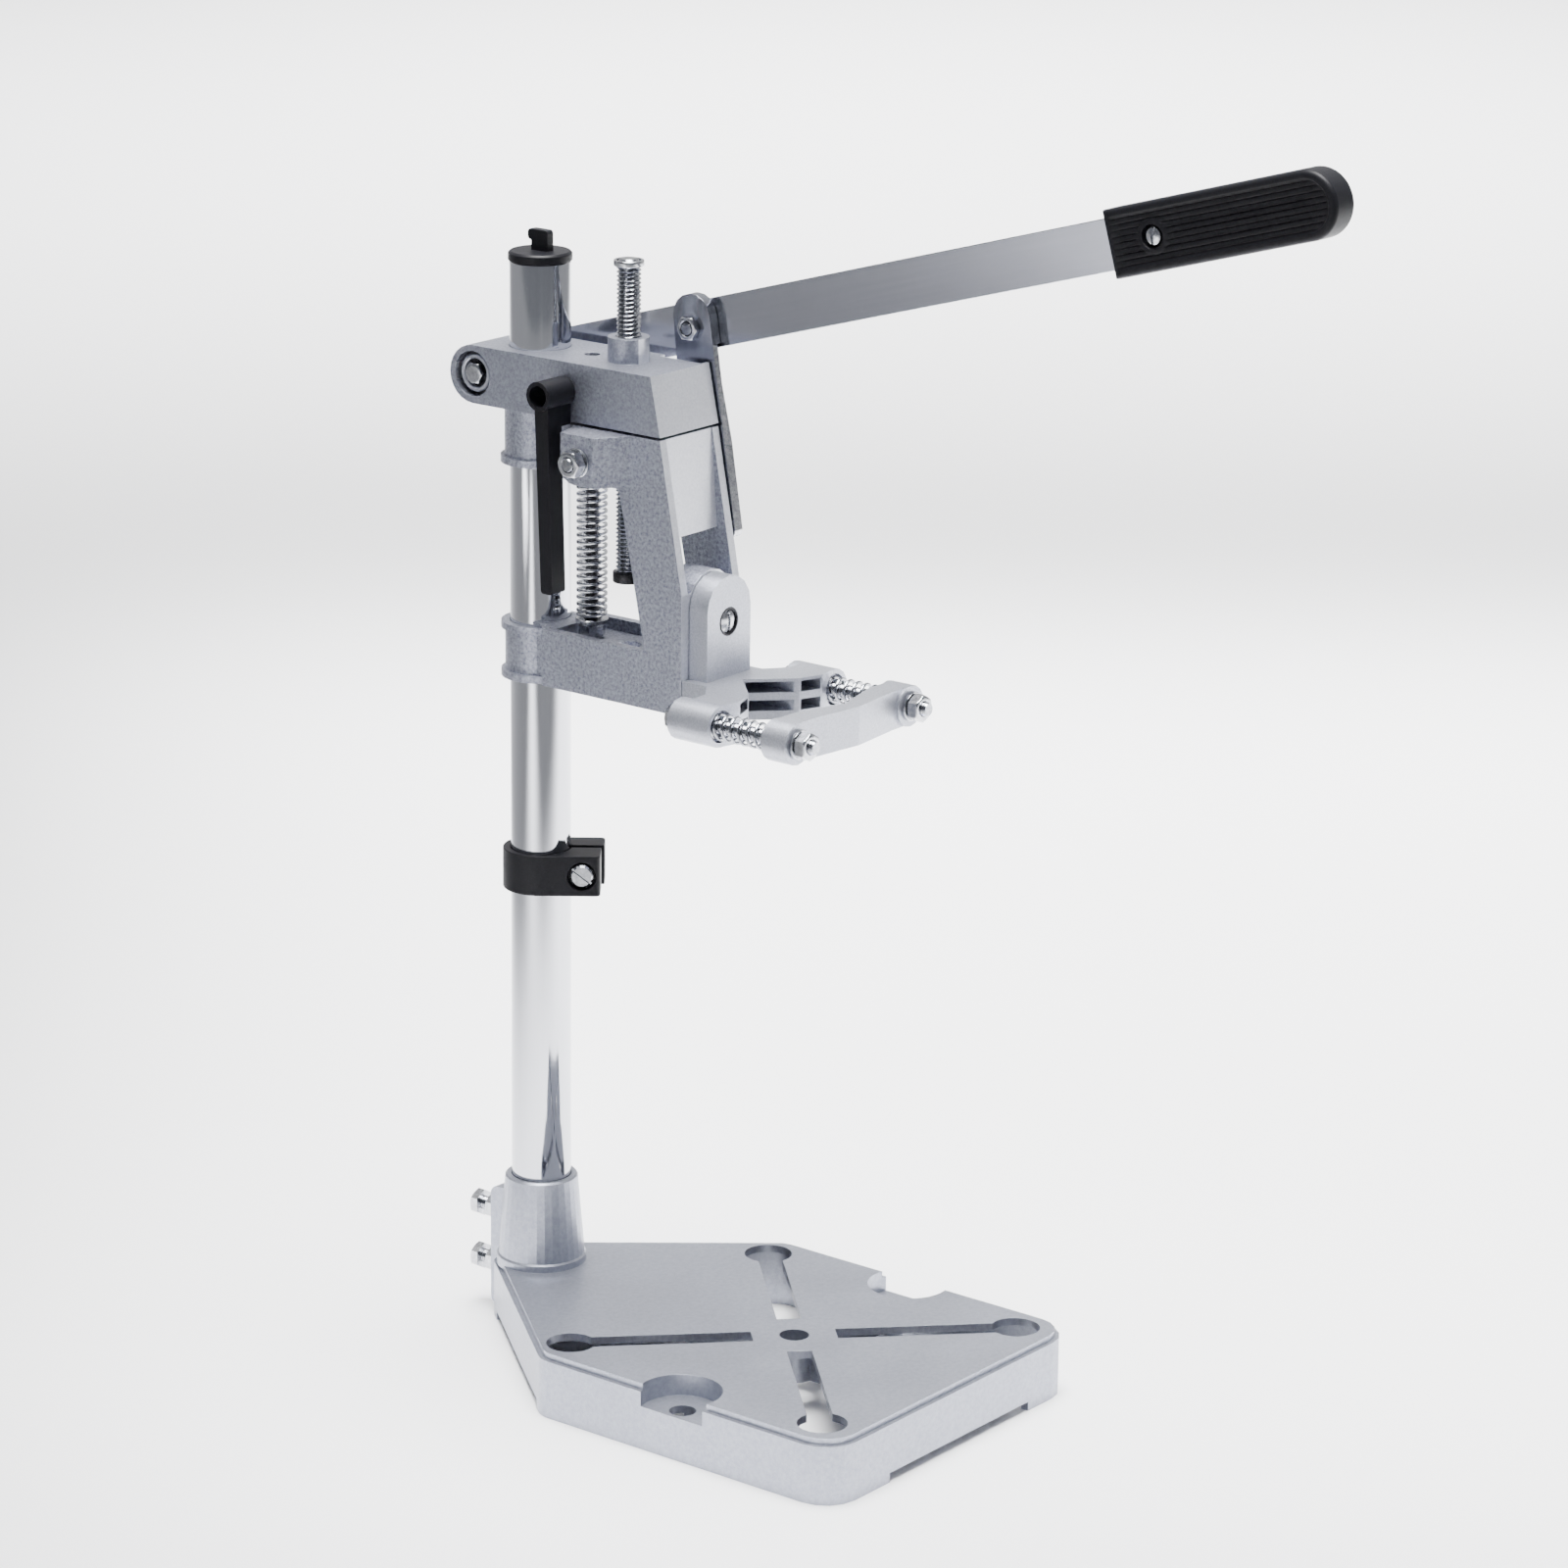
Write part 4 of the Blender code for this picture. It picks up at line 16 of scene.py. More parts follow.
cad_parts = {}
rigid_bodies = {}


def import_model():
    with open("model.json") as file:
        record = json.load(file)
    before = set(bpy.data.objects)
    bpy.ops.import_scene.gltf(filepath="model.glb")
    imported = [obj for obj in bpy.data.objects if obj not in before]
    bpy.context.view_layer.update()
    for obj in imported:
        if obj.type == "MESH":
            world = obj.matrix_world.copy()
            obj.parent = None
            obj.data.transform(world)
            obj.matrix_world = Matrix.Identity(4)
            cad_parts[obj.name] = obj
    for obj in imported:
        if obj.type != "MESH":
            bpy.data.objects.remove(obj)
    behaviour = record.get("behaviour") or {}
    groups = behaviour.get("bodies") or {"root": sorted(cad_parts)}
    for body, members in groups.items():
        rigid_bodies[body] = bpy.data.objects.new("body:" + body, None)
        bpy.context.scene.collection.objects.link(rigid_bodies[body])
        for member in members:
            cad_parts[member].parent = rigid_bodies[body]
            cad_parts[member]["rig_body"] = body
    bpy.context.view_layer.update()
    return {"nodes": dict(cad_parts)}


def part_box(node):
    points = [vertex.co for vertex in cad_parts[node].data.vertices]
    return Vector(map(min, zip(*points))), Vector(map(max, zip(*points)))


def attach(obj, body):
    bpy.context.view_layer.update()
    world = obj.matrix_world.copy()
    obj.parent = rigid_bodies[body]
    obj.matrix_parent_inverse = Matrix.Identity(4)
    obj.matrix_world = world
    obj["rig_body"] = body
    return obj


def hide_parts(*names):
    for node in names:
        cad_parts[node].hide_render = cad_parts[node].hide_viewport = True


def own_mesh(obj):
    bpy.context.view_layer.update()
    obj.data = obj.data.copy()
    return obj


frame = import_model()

NODES = frame["nodes"]
AXES = {"X": np.array([1.0, 0, 0]), "Y": np.array([0, 1.0, 0]), "Z": np.array([0, 0, 1.0])}
TURN = 2 * math.pi
MM = 0.001


# Directions and places

def unit(direction):
    """Direction at length one: d / |d|."""
    direction = np.asarray(direction, float)
    return direction / np.linalg.norm(direction)


def across(direction, start=None):
    """Two unit vectors square to the direction; the first lies as near as it can to start."""
    nearly_upright = 0.9
    axis = unit(direction)
    if start is None:
        start = (0, 0, 1) if abs(axis[2]) < nearly_upright else (1, 0, 0)
    start = np.asarray(start, float)
    first = unit(start - axis * (start @ axis))
    return first, np.cross(axis, first)


def spokes(angle, first, second):
    """Unit vectors at angles round an axis: cos a s + sin a t."""
    return np.cos(angle)[..., None] * first + np.sin(angle)[..., None] * second


def round_axis(foot, direction, height, reach, angle, start=None):
    """Points round an axis: foot + d h + r (cos a s + sin a t), from arrays of one row to a ring."""
    spoke = spokes(angle, *across(direction, start))
    return np.asarray(foot, float) + height[..., None] * unit(direction) + reach[..., None] * spoke


def ramp(value, low, width):
    """Rise from 0 to 1 while the value grows from low by the width."""
    return np.clip((value - low) / width, 0, 1)


def centre(node):
    """Middle of a node's CAD box."""
    low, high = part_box(node)
    return np.array((low + high) / 2)


def span(node, axis):
    """Foot on the CAD box's low face along an axis, the length along it and the least width."""
    low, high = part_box(node)
    size = np.array(high - low)
    along = AXES[axis]
    foot = centre(node) - along * (size @ along) / 2
    width = min(s for s, a in zip(size, along) if not a)
    return foot, float(size @ along), width


def from_end(node, axis, low_end):
    """Start and direction of a bolt or spring that starts at its low or its high end, with its
    length and least width."""
    foot, length, width = span(node, axis)
    if low_end:
        return foot, AXES[axis], length, width
    return foot + AXES[axis] * length, -AXES[axis], length, width


def corner_of(node, axis):
    """Direction from a hexagon's axis to a corner: the wider way across."""
    low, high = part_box(node)
    size = np.array(high - low) * (1 - AXES[axis])
    return np.eye(3)[int(np.argmax(size))]


# Meshes on a grid

def solid(name, rings, joined=False):
    """Closed mesh through rings[row, column]. Columns run round; rows are joined last to first, or
    close at both ends on the mean of their end ring. Faces are turned so the volume is positive."""
    rows, columns = rings.shape[:2]
    index = np.arange(rows * columns).reshape(rows, columns)
    lower, upper = (index, np.roll(index, -1, 0)) if joined else (index[:-1], index[1:])
    quads = np.stack([lower, np.roll(lower, -1, 1), np.roll(upper, -1, 1), upper], -1).reshape(-1, 4)
    caps = np.zeros((0, 3), int)
    points = rings.reshape(-1, 3)
    if not joined:
        foot, tip = len(points), len(points) + 1
        points = np.vstack([points, rings[0].mean(0), rings[-1].mean(0)])
        first, last = index[0], index[-1]
        caps = np.vstack([np.stack([np.roll(first, -1), first, np.full(columns, foot)], -1),
                          np.stack([last, np.roll(last, -1), np.full(columns, tip)], -1)])
    triangles = np.vstack([quads[:, [0, 1, 2]], quads[:, [0, 2, 3]], caps])
    a, b, c = points[triangles].transpose(1, 0, 2)
    if np.einsum("ij,ij->", a, np.cross(b, c)) < 0:
        quads, caps = quads[:, ::-1], caps[:, ::-1]
    mesh = bpy.data.meshes.new(name)
    mesh.from_pydata(points.tolist(), [], quads.tolist() + caps.tolist())
    mesh.update()
    return mesh


def shown(name, meshes, nodes, look, crease=35, extra=False):
    """One object from meshes, smooth up to the crease angle, riding with its CAD nodes' body. It
    stands for those nodes unless it is an extra."""
    mesh = meshes[0]
    if len(meshes) > 1:
        work = bmesh.new()
        for part in meshes:
            work.from_mesh(part)
        work.to_mesh(mesh)
        work.free()
    mesh.polygons.foreach_set("use_smooth", np.ones(len(mesh.polygons), bool))
    mesh.set_sharp_from_angle(angle=math.radians(crease))
    piece = bpy.data.objects.new(name, mesh)
    bpy.context.scene.collection.objects.link(piece)
    mesh.materials.append(look)
    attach(piece, NODES[nodes[0]]["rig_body"])
    if not extra:
        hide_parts(*nodes)
    return piece


def quarter(r, h, size, first, count=4):
    """Quarter circle of a lathe's outline about (r, h), on from the first angle in degrees:
    (r + s cos a, h + s sin a)."""
    angle = np.radians(np.linspace(first, first + 90, count))
    return np.column_stack([r + size * np.cos(angle), h + size * np.sin(angle)])


def chamfered(inner, outer, low, high, edge, lip):
    """Lathe outline of a ring: a rectangle with its corners cut by the edge. The cut at the bore is
    one lip wide."""
    return [(outer - edge, low), (outer, low + edge), (outer, high - edge), (outer - edge, high),
            (inner + lip, high), (inner, high - edge), (inner, low + edge), (inner + lip, low)]


def turned(name, profile, foot, direction, columns):
    """Lathe ring: foot + d h + r (cos a s + sin a t), for each (r, h) of a closed outline."""
    reach, height = np.array(profile, float).T[:, :, None]
    angle = np.arange(columns)[None] * TURN / columns
    return solid(name, round_axis(foot, direction, height, reach, angle), joined=True)


def threaded(name, radius, pitch, foot, direction, length, depth=0.32, columns=24, steps=6):
    """Screw thread: r(a, h) = R - depth pitch max(tri(h / pitch - a / 2 pi), end(h)), where tri is a
    triangle wave from 0 to 1 and end(h) climbs to 1.6 within the last pitch at both ends."""
    end_depth = 1.6
    height = np.linspace(0, length, int(length / pitch * steps) + 1)[:, None]
    angle = np.arange(columns)[None] * TURN / columns
    wave = np.abs(2 * ((height / pitch - angle / TURN) % 1) - 1)
    to_end = np.minimum(height, length - height) / pitch
    chamfer = end_depth * np.clip(1 - to_end, 0, 1)
    reach = radius - depth * pitch * np.maximum(wave, chamfer)
    return solid(name, round_axis(foot, direction, height, reach, angle))


HEX_EDGE = 0.25 * MM
HEX_CHAMFER_SHARE = 0.06
HEX_STEP_SHARES = (0, 0.2, 0.45, 0.75, 1.0)
HEX_FACE_SHARE = 0.475
HEX_CENTRE_SHARE = 0.3
HEX_CONE_SLOPE = 1.73


def hexagon(name, flats, foot, direction, height, bore=0.0, chamfers=(1, 1), columns=48, corner=None):
    """Six-sided prism with turned corners: r(a, h) = min(F / 2 / cos(a mod 60 - 30), 0.475 F + 1.73 s),
    where s is the distance to the nearest chamfered end. With a bore its rows join into a ring."""
    angle = np.arange(columns)[None] * TURN / columns
    side = flats / 2 / np.cos((angle % (TURN / 6)) - TURN / 12)
    steps = np.array(HEX_STEP_SHARES) * flats * HEX_CHAMFER_SHARE
    levels = np.concatenate([steps, height - steps[::-1]])[:, None]
    from_low = np.where(levels < height / 2, levels, height) if chamfers[0] else height
    from_high = np.where(levels > height / 2, height - levels, height) if chamfers[1] else height
    cone = flats * HEX_FACE_SHARE + HEX_CONE_SLOPE * np.minimum(from_low, from_high)
    mouth = bore + HEX_EDGE if bore else flats * HEX_CENTRE_SHARE
    reach = np.pad(np.minimum(side, cone), ((1, 1), (0, 0)), constant_values=mouth)
    levels = np.vstack([[[0]], levels, [[height]]])
    if bore:
        reach = np.vstack([reach, np.full((2, columns), bore)])
        levels = np.vstack([levels, [[height - HEX_EDGE]], [[HEX_EDGE]]])
    return solid(name, round_axis(foot, direction, levels, reach, angle, corner), joined=bool(bore))


CLOSED_CURL_SHARE = 1.06


def spiral(name, foot, direction, length, radius, wire, curls, closed=1.5, sides=10, steps=24):
    """Spring wire: c(a) = foot + d h(a) + R (cos a s + sin a t), w / 2 (cos b s' + sin b m) round it,
    s' being the spoke and m square to spoke and wire. The height h keeps about one wire width to
    the turn for the closed end turns and climbs evenly between them."""
    first, second = across(direction)
    axis = unit(direction)
    share = np.linspace(0, curls, int(curls * steps) + 1)
    tight = wire * CLOSED_CURL_SHARE
    climb = (length - wire - 2 * closed * tight) / (curls - 2 * closed)
    pace = np.where((share < closed) | (share > curls - closed), tight, climb)
    window = np.ones(steps + 1) / (steps + 1)
    pace = np.convolve(np.pad(pace, steps // 2, mode="edge"), window, "valid")
    height = np.concatenate([[0], np.cumsum((pace[1:] + pace[:-1]) / 2 / steps)])
    height = wire / 2 + height * (length - wire) / height[-1]
    turn = share * TURN
    spoke = spokes(turn, first, second)
    run = spokes(turn, second, -first)
    slope = np.gradient(height, turn)[:, None] / radius
    tangent = (run + slope * axis) / np.sqrt(1 + slope ** 2)
    side = np.cross(tangent, spoke)
    middle = np.asarray(foot, float) + height[:, None] * axis + radius * spoke
    round_wire = (np.arange(sides) * TURN / sides)[None, :, None]
    section = np.cos(round_wire) * spoke[:, None] + np.sin(round_wire) * side[:, None]
    return solid(name, middle[:, None] + wire / 2 * section)


# Rounded copies of CAD solids

MERGE_REACH = 0.01 * MM
FLAT_ANGLE = math.radians(0.5)
FRONT_FACING = -0.85
SHADE_WEIGHT = 80


def edge_marks(mesh, crease, small, wide):
    """One mark for each edge to round: its faces meet at more than the crease, or at more than the
    small angle where both faces are over the wide area."""
    loops, faces = len(mesh.loops), len(mesh.polygons)
    of_loop, size, area = np.zeros(loops, int), np.zeros(faces, int), np.zeros(faces)
    normal = np.zeros(faces * 3)
    mesh.loops.foreach_get("edge_index", of_loop)
    mesh.polygons.foreach_get("loop_total", size)
    mesh.polygons.foreach_get("area", area)
    mesh.polygons.foreach_get("normal", normal)
    face = np.repeat(np.arange(faces), size)[np.argsort(of_loop, kind="stable")]
    count = np.bincount(of_loop, minlength=len(mesh.edges))
    start = np.concatenate([[0], np.cumsum(count)[:-1]])
    pair = count == 2
    one, two = face[start[pair]], face[start[pair] + 1]
    normal = normal.reshape(-1, 3)
    angle = np.degrees(np.arccos(np.clip(np.einsum("ij,ij->i", normal[one], normal[two]), -1, 1)))
    large = np.minimum(area[one], area[two]) > wide
    marks = np.zeros(len(mesh.edges))
    marks[pair] = (angle > crease) | ((angle > small) & large)
    return marks


def rounded_copy(node, look, width, segments=3, crease=34, small=5, wide=60 * MM ** 2, front=None):
    """Merged copy of a CAD solid: flat faces made whole again, then its marked edges rounded off
    by a bevel of the given width. Faces looking along -Y can take a second look: painted front light."""
    work = bmesh.new()
    work.from_mesh(NODES[node].data)
    bmesh.ops.remove_doubles(work, verts=work.verts, dist=MERGE_REACH)
    bmesh.ops.dissolve_limit(work, angle_limit=FLAT_ANGLE, verts=work.verts, edges=work.edges,
                             delimit=set())
    mesh = bpy.data.meshes.new(node)
    work.to_mesh(mesh)
    work.free()
    weight = mesh.attributes.new("bevel_weight_edge", "FLOAT", "EDGE")
    weight.data.foreach_set("value", edge_marks(mesh, crease, small, wide))
    piece = shown(node + "_finished", [mesh], [node], look, crease=180)
    # painted light: faces looking along -Y get a second, brighter material than the rest of the piece
    if front:
        mesh.materials.append(front)
        normal = np.zeros(len(mesh.polygons) * 3)
        mesh.polygons.foreach_get("normal", normal)
        mesh.polygons.foreach_set("material_index", (normal[1::3] < FRONT_FACING).astype(np.int32))
    bevel = piece.modifiers.new("edges", "BEVEL")
    bevel.width = width
    bevel.segments = segments
    bevel.limit_method = "WEIGHT"
    bevel.use_clamp_overlap = True
    bevel.miter_outer = "MITER_ARC"
    shade = piece.modifiers.new("shading", "WEIGHTED_NORMAL")
    shade.mode = "FACE_AREA_WITH_ANGLE"
    shade.weight = SHADE_WEIGHT
    return piece


# Shader parts

def group(name, inputs, outputs):
    """Empty node group with float inputs (name, default), a Place vector and outputs (name, kind)."""
    tree = bpy.data.node_groups.new(name, "ShaderNodeTree")
    for label, value in inputs:
        socket = tree.interface.new_socket(label, in_out="INPUT", socket_type="NodeSocketFloat")
        socket.default_value = value
    tree.interface.new_socket("Place", in_out="INPUT", socket_type="NodeSocketVector")
    for label, kind in outputs:
        tree.interface.new_socket(label, in_out="OUTPUT", socket_type="NodeSocket" + kind)
    return tree, tree.nodes.new("NodeGroupInput"), tree.nodes.new("NodeGroupOutput")


def math_node(tree, operation, a, b=None):
    """One Math node on sockets or numbers."""
    node = tree.nodes.new("ShaderNodeMath")
    node.operation = operation
    for socket, value in zip(node.inputs, (a, b)):
        if isinstance(value, (int, float)):
            socket.default_value = value
        elif value is not None:
            tree.links.new(value, socket)
    return node.outputs[0]


def noise(tree, place, scale, detail=2.0, rough=0.5):
    """Noise texture at a place; the scale is a number or a socket."""
    node = tree.nodes.new("ShaderNodeTexNoise")
    node.inputs["Detail"].default_value = detail
    node.inputs["Roughness"].default_value = rough
    if isinstance(scale, (int, float)):
        node.inputs["Scale"].default_value = scale
    else:
        tree.links.new(scale, node.inputs["Scale"])
    tree.links.new(place, node.inputs["Vector"])
    return node.outputs["Fac"]


def stretched(tree, value, low, high, start=0.0, end=1.0):
    """Map Range from low..high to start..end, clamped."""
    node = tree.nodes.new("ShaderNodeMapRange")
    tree.links.new(value, node.inputs["Value"])
    for label, number in (("From Min", low), ("From Max", high), ("To Min", start), ("To Max", end)):
        node.inputs[label].default_value = number
    return node.outputs["Result"]


def bumped(tree, shader, height, depth):
    """Bump the shader's surface by a height socket, to the given depth."""
    relief = tree.nodes.new("ShaderNodeBump")
    relief.inputs["Distance"].default_value = depth
    tree.links.new(height, relief.inputs["Height"])
    tree.links.new(relief.outputs["Normal"], shader.inputs["Normal"])


def cast_skin():
    """Cast skin: coarse and fine grain give a height and a mottling mask, broad noise a stain."""
    fine_scale, coarse_share, fine_share, stain_scale = 2.7, 0.7, 0.3, 28.0
    tree, given, out = group("cast_skin", [("Grain", 900.0)],
                             [("Height", "Float"), ("Mottle", "Float"), ("Stain", "Float")])
    place, grain = given.outputs["Place"], given.outputs["Grain"]
    coarse = noise(tree, place, grain, detail=2.0, rough=0.6)
    fine = noise(tree, place, math_node(tree, "MULTIPLY", grain, fine_scale), detail=1.0)
    stain = noise(tree, place, stain_scale, detail=3.0, rough=0.55)
    both = math_node(tree, "ADD", math_node(tree, "MULTIPLY", coarse, coarse_share),
                     math_node(tree, "MULTIPLY", fine, fine_share))
    tree.links.new(both, out.inputs["Height"])
    tree.links.new(stretched(tree, both, low=0.36, high=0.64), out.inputs["Mottle"])
    tree.links.new(stretched(tree, stain, low=0.3, high=0.7), out.inputs["Stain"])
    return tree


def drawn_streaks():
    """Brushed or drawn metal: noise squeezed along one axis gives fine streaks and a broad sheen."""
    sheen_scale = 40.0
    axes = ("Along X", "Along Y", "Along Z")
    tree, given, out = group("drawn_streaks", [(label, 1.0) for label in axes],
                             [("Height", "Float"), ("Sheen", "Float")])
    place = given.outputs["Place"]
    split = tree.nodes.new("ShaderNodeSeparateXYZ")
    join = tree.nodes.new("ShaderNodeCombineXYZ")
    tree.links.new(place, split.inputs[0])
    for axis, label in enumerate(axes):
        squeezed = math_node(tree, "MULTIPLY", split.outputs[axis], given.outputs[label])
        tree.links.new(squeezed, join.inputs[axis])
    streaks = noise(tree, join.outputs[0], 1.0, detail=3.0, rough=0.6)
    sheen = noise(tree, place, sheen_scale, detail=2.0)
    tree.links.new(streaks, out.inputs["Height"])
    tree.links.new(stretched(tree, sheen, low=0.3, high=0.7), out.inputs["Sheen"])
    return tree


SKIN = cast_skin()
STREAKS = drawn_streaks()
COLOUR_A, COLOUR_B, COLOUR_OUT = 6, 7, 2


def finish(name, dark, light, rough, metal, pattern, settings, bump, turn=0.0, gloss=0.5):
    """Metal or plastic finish. The pattern's mask mixes dark and light and its broad noise spreads
    the roughness over its range; its height bumps the surface by the given depth. The pattern can
    be turned about X by so many degrees."""
    look = bpy.data.materials.new(name)
    look.use_nodes = True
    tree = look.node_tree
    shader = tree.nodes["Principled BSDF"]
    where = tree.nodes.new("ShaderNodeTexCoord")
    used = tree.nodes.new("ShaderNodeGroup")
    used.node_tree = pattern
    placed = tree.nodes.new("ShaderNodeMapping")
    placed.inputs["Rotation"].default_value = (math.radians(turn), 0, 0)
    tree.links.new(where.outputs["Object"], placed.inputs["Vector"])
    tree.links.new(placed.outputs["Vector"], used.inputs["Place"])
    for label, value in settings.items():
        used.inputs[label].default_value = value
    mask = used.outputs["Mottle" if pattern is SKIN else "Height"]
    broad = used.outputs["Stain" if pattern is SKIN else "Sheen"]
    mix = tree.nodes.new("ShaderNodeMix")
    mix.data_type = "RGBA"
    mix.inputs[COLOUR_A].default_value = (*dark, 1)
    mix.inputs[COLOUR_B].default_value = (*light, 1)
    tree.links.new(mask, mix.inputs["Factor"])
    tree.links.new(mix.outputs[COLOUR_OUT], shader.inputs["Base Color"])
    tree.links.new(stretched(tree, broad, 0, 1, *rough), shader.inputs["Roughness"])
    shader.inputs["Metallic"].default_value = metal
    shader.inputs["Specular IOR Level"].default_value = gloss
    bumped(tree, shader, used.outputs["Height"], bump)
    return look


# Finishes

BASE = finish("satin_cast_aluminium", dark=(0.30, 0.315, 0.375), light=(0.37, 0.385, 0.445),
              rough=(0.30, 0.38), metal=0.8, pattern=SKIN, settings={"Grain": 500.0}, bump=0.03 * MM)
SANDED = finish("sand_cast_aluminium", dark=(0.20, 0.21, 0.265), light=(0.45, 0.465, 0.54),
                rough=(0.36, 0.46), metal=0.8, pattern=SKIN, settings={"Grain": 760.0}, bump=0.24 * MM)
CAST = finish("blasted_cast_aluminium", dark=(0.23, 0.24, 0.295), light=(0.37, 0.385, 0.45),
              rough=(0.36, 0.44), metal=0.8, pattern=SKIN, settings={"Grain": 900.0}, bump=0.12 * MM)
# Painted light: a much brighter copy of cast aluminium for faces looking along -Y, standing in for the
# stronger light on the front.
PAINTED_FRONT_LIGHT = finish("cast_aluminium_painted_front_light", dark=(0.70, 0.715, 0.78), light=(0.83, 0.845, 0.90),
               rough=(0.34, 0.42), metal=0.85, pattern=SKIN, settings={"Grain": 900.0}, bump=0.08 * MM)
FINE_CAST = finish("tumbled_cast_aluminium", dark=(0.40, 0.415, 0.475), light=(0.54, 0.555, 0.615),
                   rough=(0.30, 0.40), metal=0.8, pattern=SKIN, settings={"Grain": 1300.0},
                   bump=0.12 * MM)
SHEET = finish("rolled_sheet", dark=(0.24, 0.25, 0.30), light=(0.36, 0.37, 0.42), rough=(0.20, 0.28),
               metal=1.0, pattern=STREAKS, bump=0.02 * MM,
               settings={"Along X": 900.0, "Along Y": 900.0, "Along Z": 60.0})
BAR = finish("drawn_bar", dark=(0.44, 0.45, 0.51), light=(0.51, 0.52, 0.58), rough=(0.13, 0.15),
             metal=1.0, pattern=STREAKS, bump=0.006 * MM, turn=16.3,
             settings={"Along X": 900.0, "Along Y": 12.0, "Along Z": 700.0})
CHROME = finish("polished_chrome", dark=(0.60, 0.61, 0.65), light=(0.68, 0.69, 0.73),
                rough=(0.05, 0.09), metal=1.0, pattern=STREAKS, bump=0.004 * MM,
                settings={"Along X": 500.0, "Along Y": 500.0, "Along Z": 8.0})
# Bright zinc for the fasteners and springs; on the link's faces looking along -Y it serves as painted
# light.
ZINC_AND_PAINTED_LIGHT = finish("bright_zinc_and_painted_light", dark=(0.42, 0.43, 0.46), light=(0.66, 0.67, 0.70), rough=(0.14, 0.24),
              metal=1.0, pattern=SKIN, settings={"Grain": 500.0}, bump=0.03 * MM)
THREAD = finish("rolled_thread", dark=(0.28, 0.29, 0.32), light=(0.50, 0.51, 0.54), rough=(0.12, 0.20),
                metal=1.0, pattern=SKIN, settings={"Grain": 500.0}, bump=0.02 * MM)
STEEL = finish("oiled_steel", dark=(0.10, 0.10, 0.11), light=(0.20, 0.20, 0.21), rough=(0.25, 0.35),
               metal=1.0, pattern=SKIN, settings={"Grain": 500.0}, bump=0.03 * MM)
# Blackened steel for the depth stop ring; also the colour of the painted shade in the recesses.
DARK = finish("blackened_steel_and_painted_shade", dark=(0.02, 0.02, 0.022), light=(0.05, 0.05, 0.055),
              rough=(0.3, 0.42), metal=0.8, pattern=SKIN, settings={"Grain": 800.0}, bump=0.05 * MM)
PLASTIC = finish("moulded_plastic", dark=(0.005, 0.005, 0.007), light=(0.008, 0.008, 0.011),
                 rough=(0.38, 0.50), metal=0.0, pattern=SKIN, settings={"Grain": 1400.0},
                 bump=0.04 * MM, gloss=0.18)


# Cast, moulded and bent pieces from their CAD solids

rounded_copy("base_casting", BASE, width=1.1 * MM, segments=4)
# The carriage's and the head's faces looking along -Y take the painted front light.
rounded_copy("carriage", SANDED, width=0.9 * MM, front=PAINTED_FRONT_LIGHT)
rounded_copy("head_block", CAST, width=1.1 * MM, wide=120 * MM ** 2, front=PAINTED_FRONT_LIGHT)
rounded_copy("tool_head", FINE_CAST, width=0.9 * MM, wide=250 * MM ** 2)
rounded_copy("front_jaw", FINE_CAST, width=0.9 * MM, wide=250 * MM ** 2)
# The link's faces looking along -Y take bright zinc as a painted highlight on its lit front rim.
rounded_copy("link", SHEET, width=0.4 * MM, segments=2, front=ZINC_AND_PAINTED_LIGHT)
rounded_copy("handle_bar", BAR, width=0.4 * MM, segments=2)
rounded_copy("stop_collar", PLASTIC, width=0.5 * MM)
rounded_copy("column_cap", PLASTIC, width=0.4 * MM)
rounded_copy("clamp_lever", PLASTIC, width=0.7 * MM)


# Column, rods and springs

def chrome_column():
    """Tube with a rounded rim: lathe of its wall's outline, joined into a ring."""
    wall, rim = 1.5 * MM, 0.5 * MM
    low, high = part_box("column")
    outer = high.x
    profile = np.vstack([quarter(outer - rim, low.z + rim, rim, first=-90, count=5),
                         quarter(outer - rim, high.z - rim, rim, first=0, count=5),
                         (outer - wall, high.z), (outer - wall, low.z)])
    mesh = turned("column", profile, (0, 0, 0), AXES["Z"], columns=128)
    shown("chrome_column", [mesh], ["column"], CHROME)


def upright_rod(name, node, pitch, depth, look):
    """Threaded rod along +Z, as long and as thick as its CAD box."""
    foot, length, width = span(node, "Z")
    mesh = threaded(name, width / 2, pitch, foot, AXES["Z"], length, depth)
    shown(name, [mesh], [node], look)


def clip_ring(node, look):
    """Ring round the depth rod, its outline rounded: a lathe of a rounded rectangle."""
    bore, edge, name = 4.95 * MM, 0.5 * MM, node + "_clip"
    low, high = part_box(node)
    radius = (high.x - low.x) / 2
    middle = centre(node)
    profile = np.vstack([quarter(radius - edge, low.z + edge, edge, first=-90),
                         quarter(radius - edge, high.z - edge, edge, first=0),
                         quarter(bore + edge / 2, high.z - edge / 2, edge / 2, first=90),
                         quarter(bore + edge / 2, low.z + edge / 2, edge / 2, first=180)])
    mesh = turned(name, profile, (middle[0], middle[1], 0), AXES["Z"], columns=40)
    shown(name, [mesh], [node], look)


def return_spring():
    """Upright spring, drawn at its CAD length; the coil does not shorten as the carriage goes down."""
    radius, wire, curls, pressed_share = 5.75 * MM, 1.5 * MM, 22, 0.41
    foot, length, _ = span("return_spring", "Z")
    coil = spiral("return_spring_wire", foot, AXES["Z"], length, radius, wire, curls)
    spring = shown("return_spring_wire", [coil], ["return_spring"], ZINC_AND_PAINTED_LIGHT)
    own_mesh(spring)


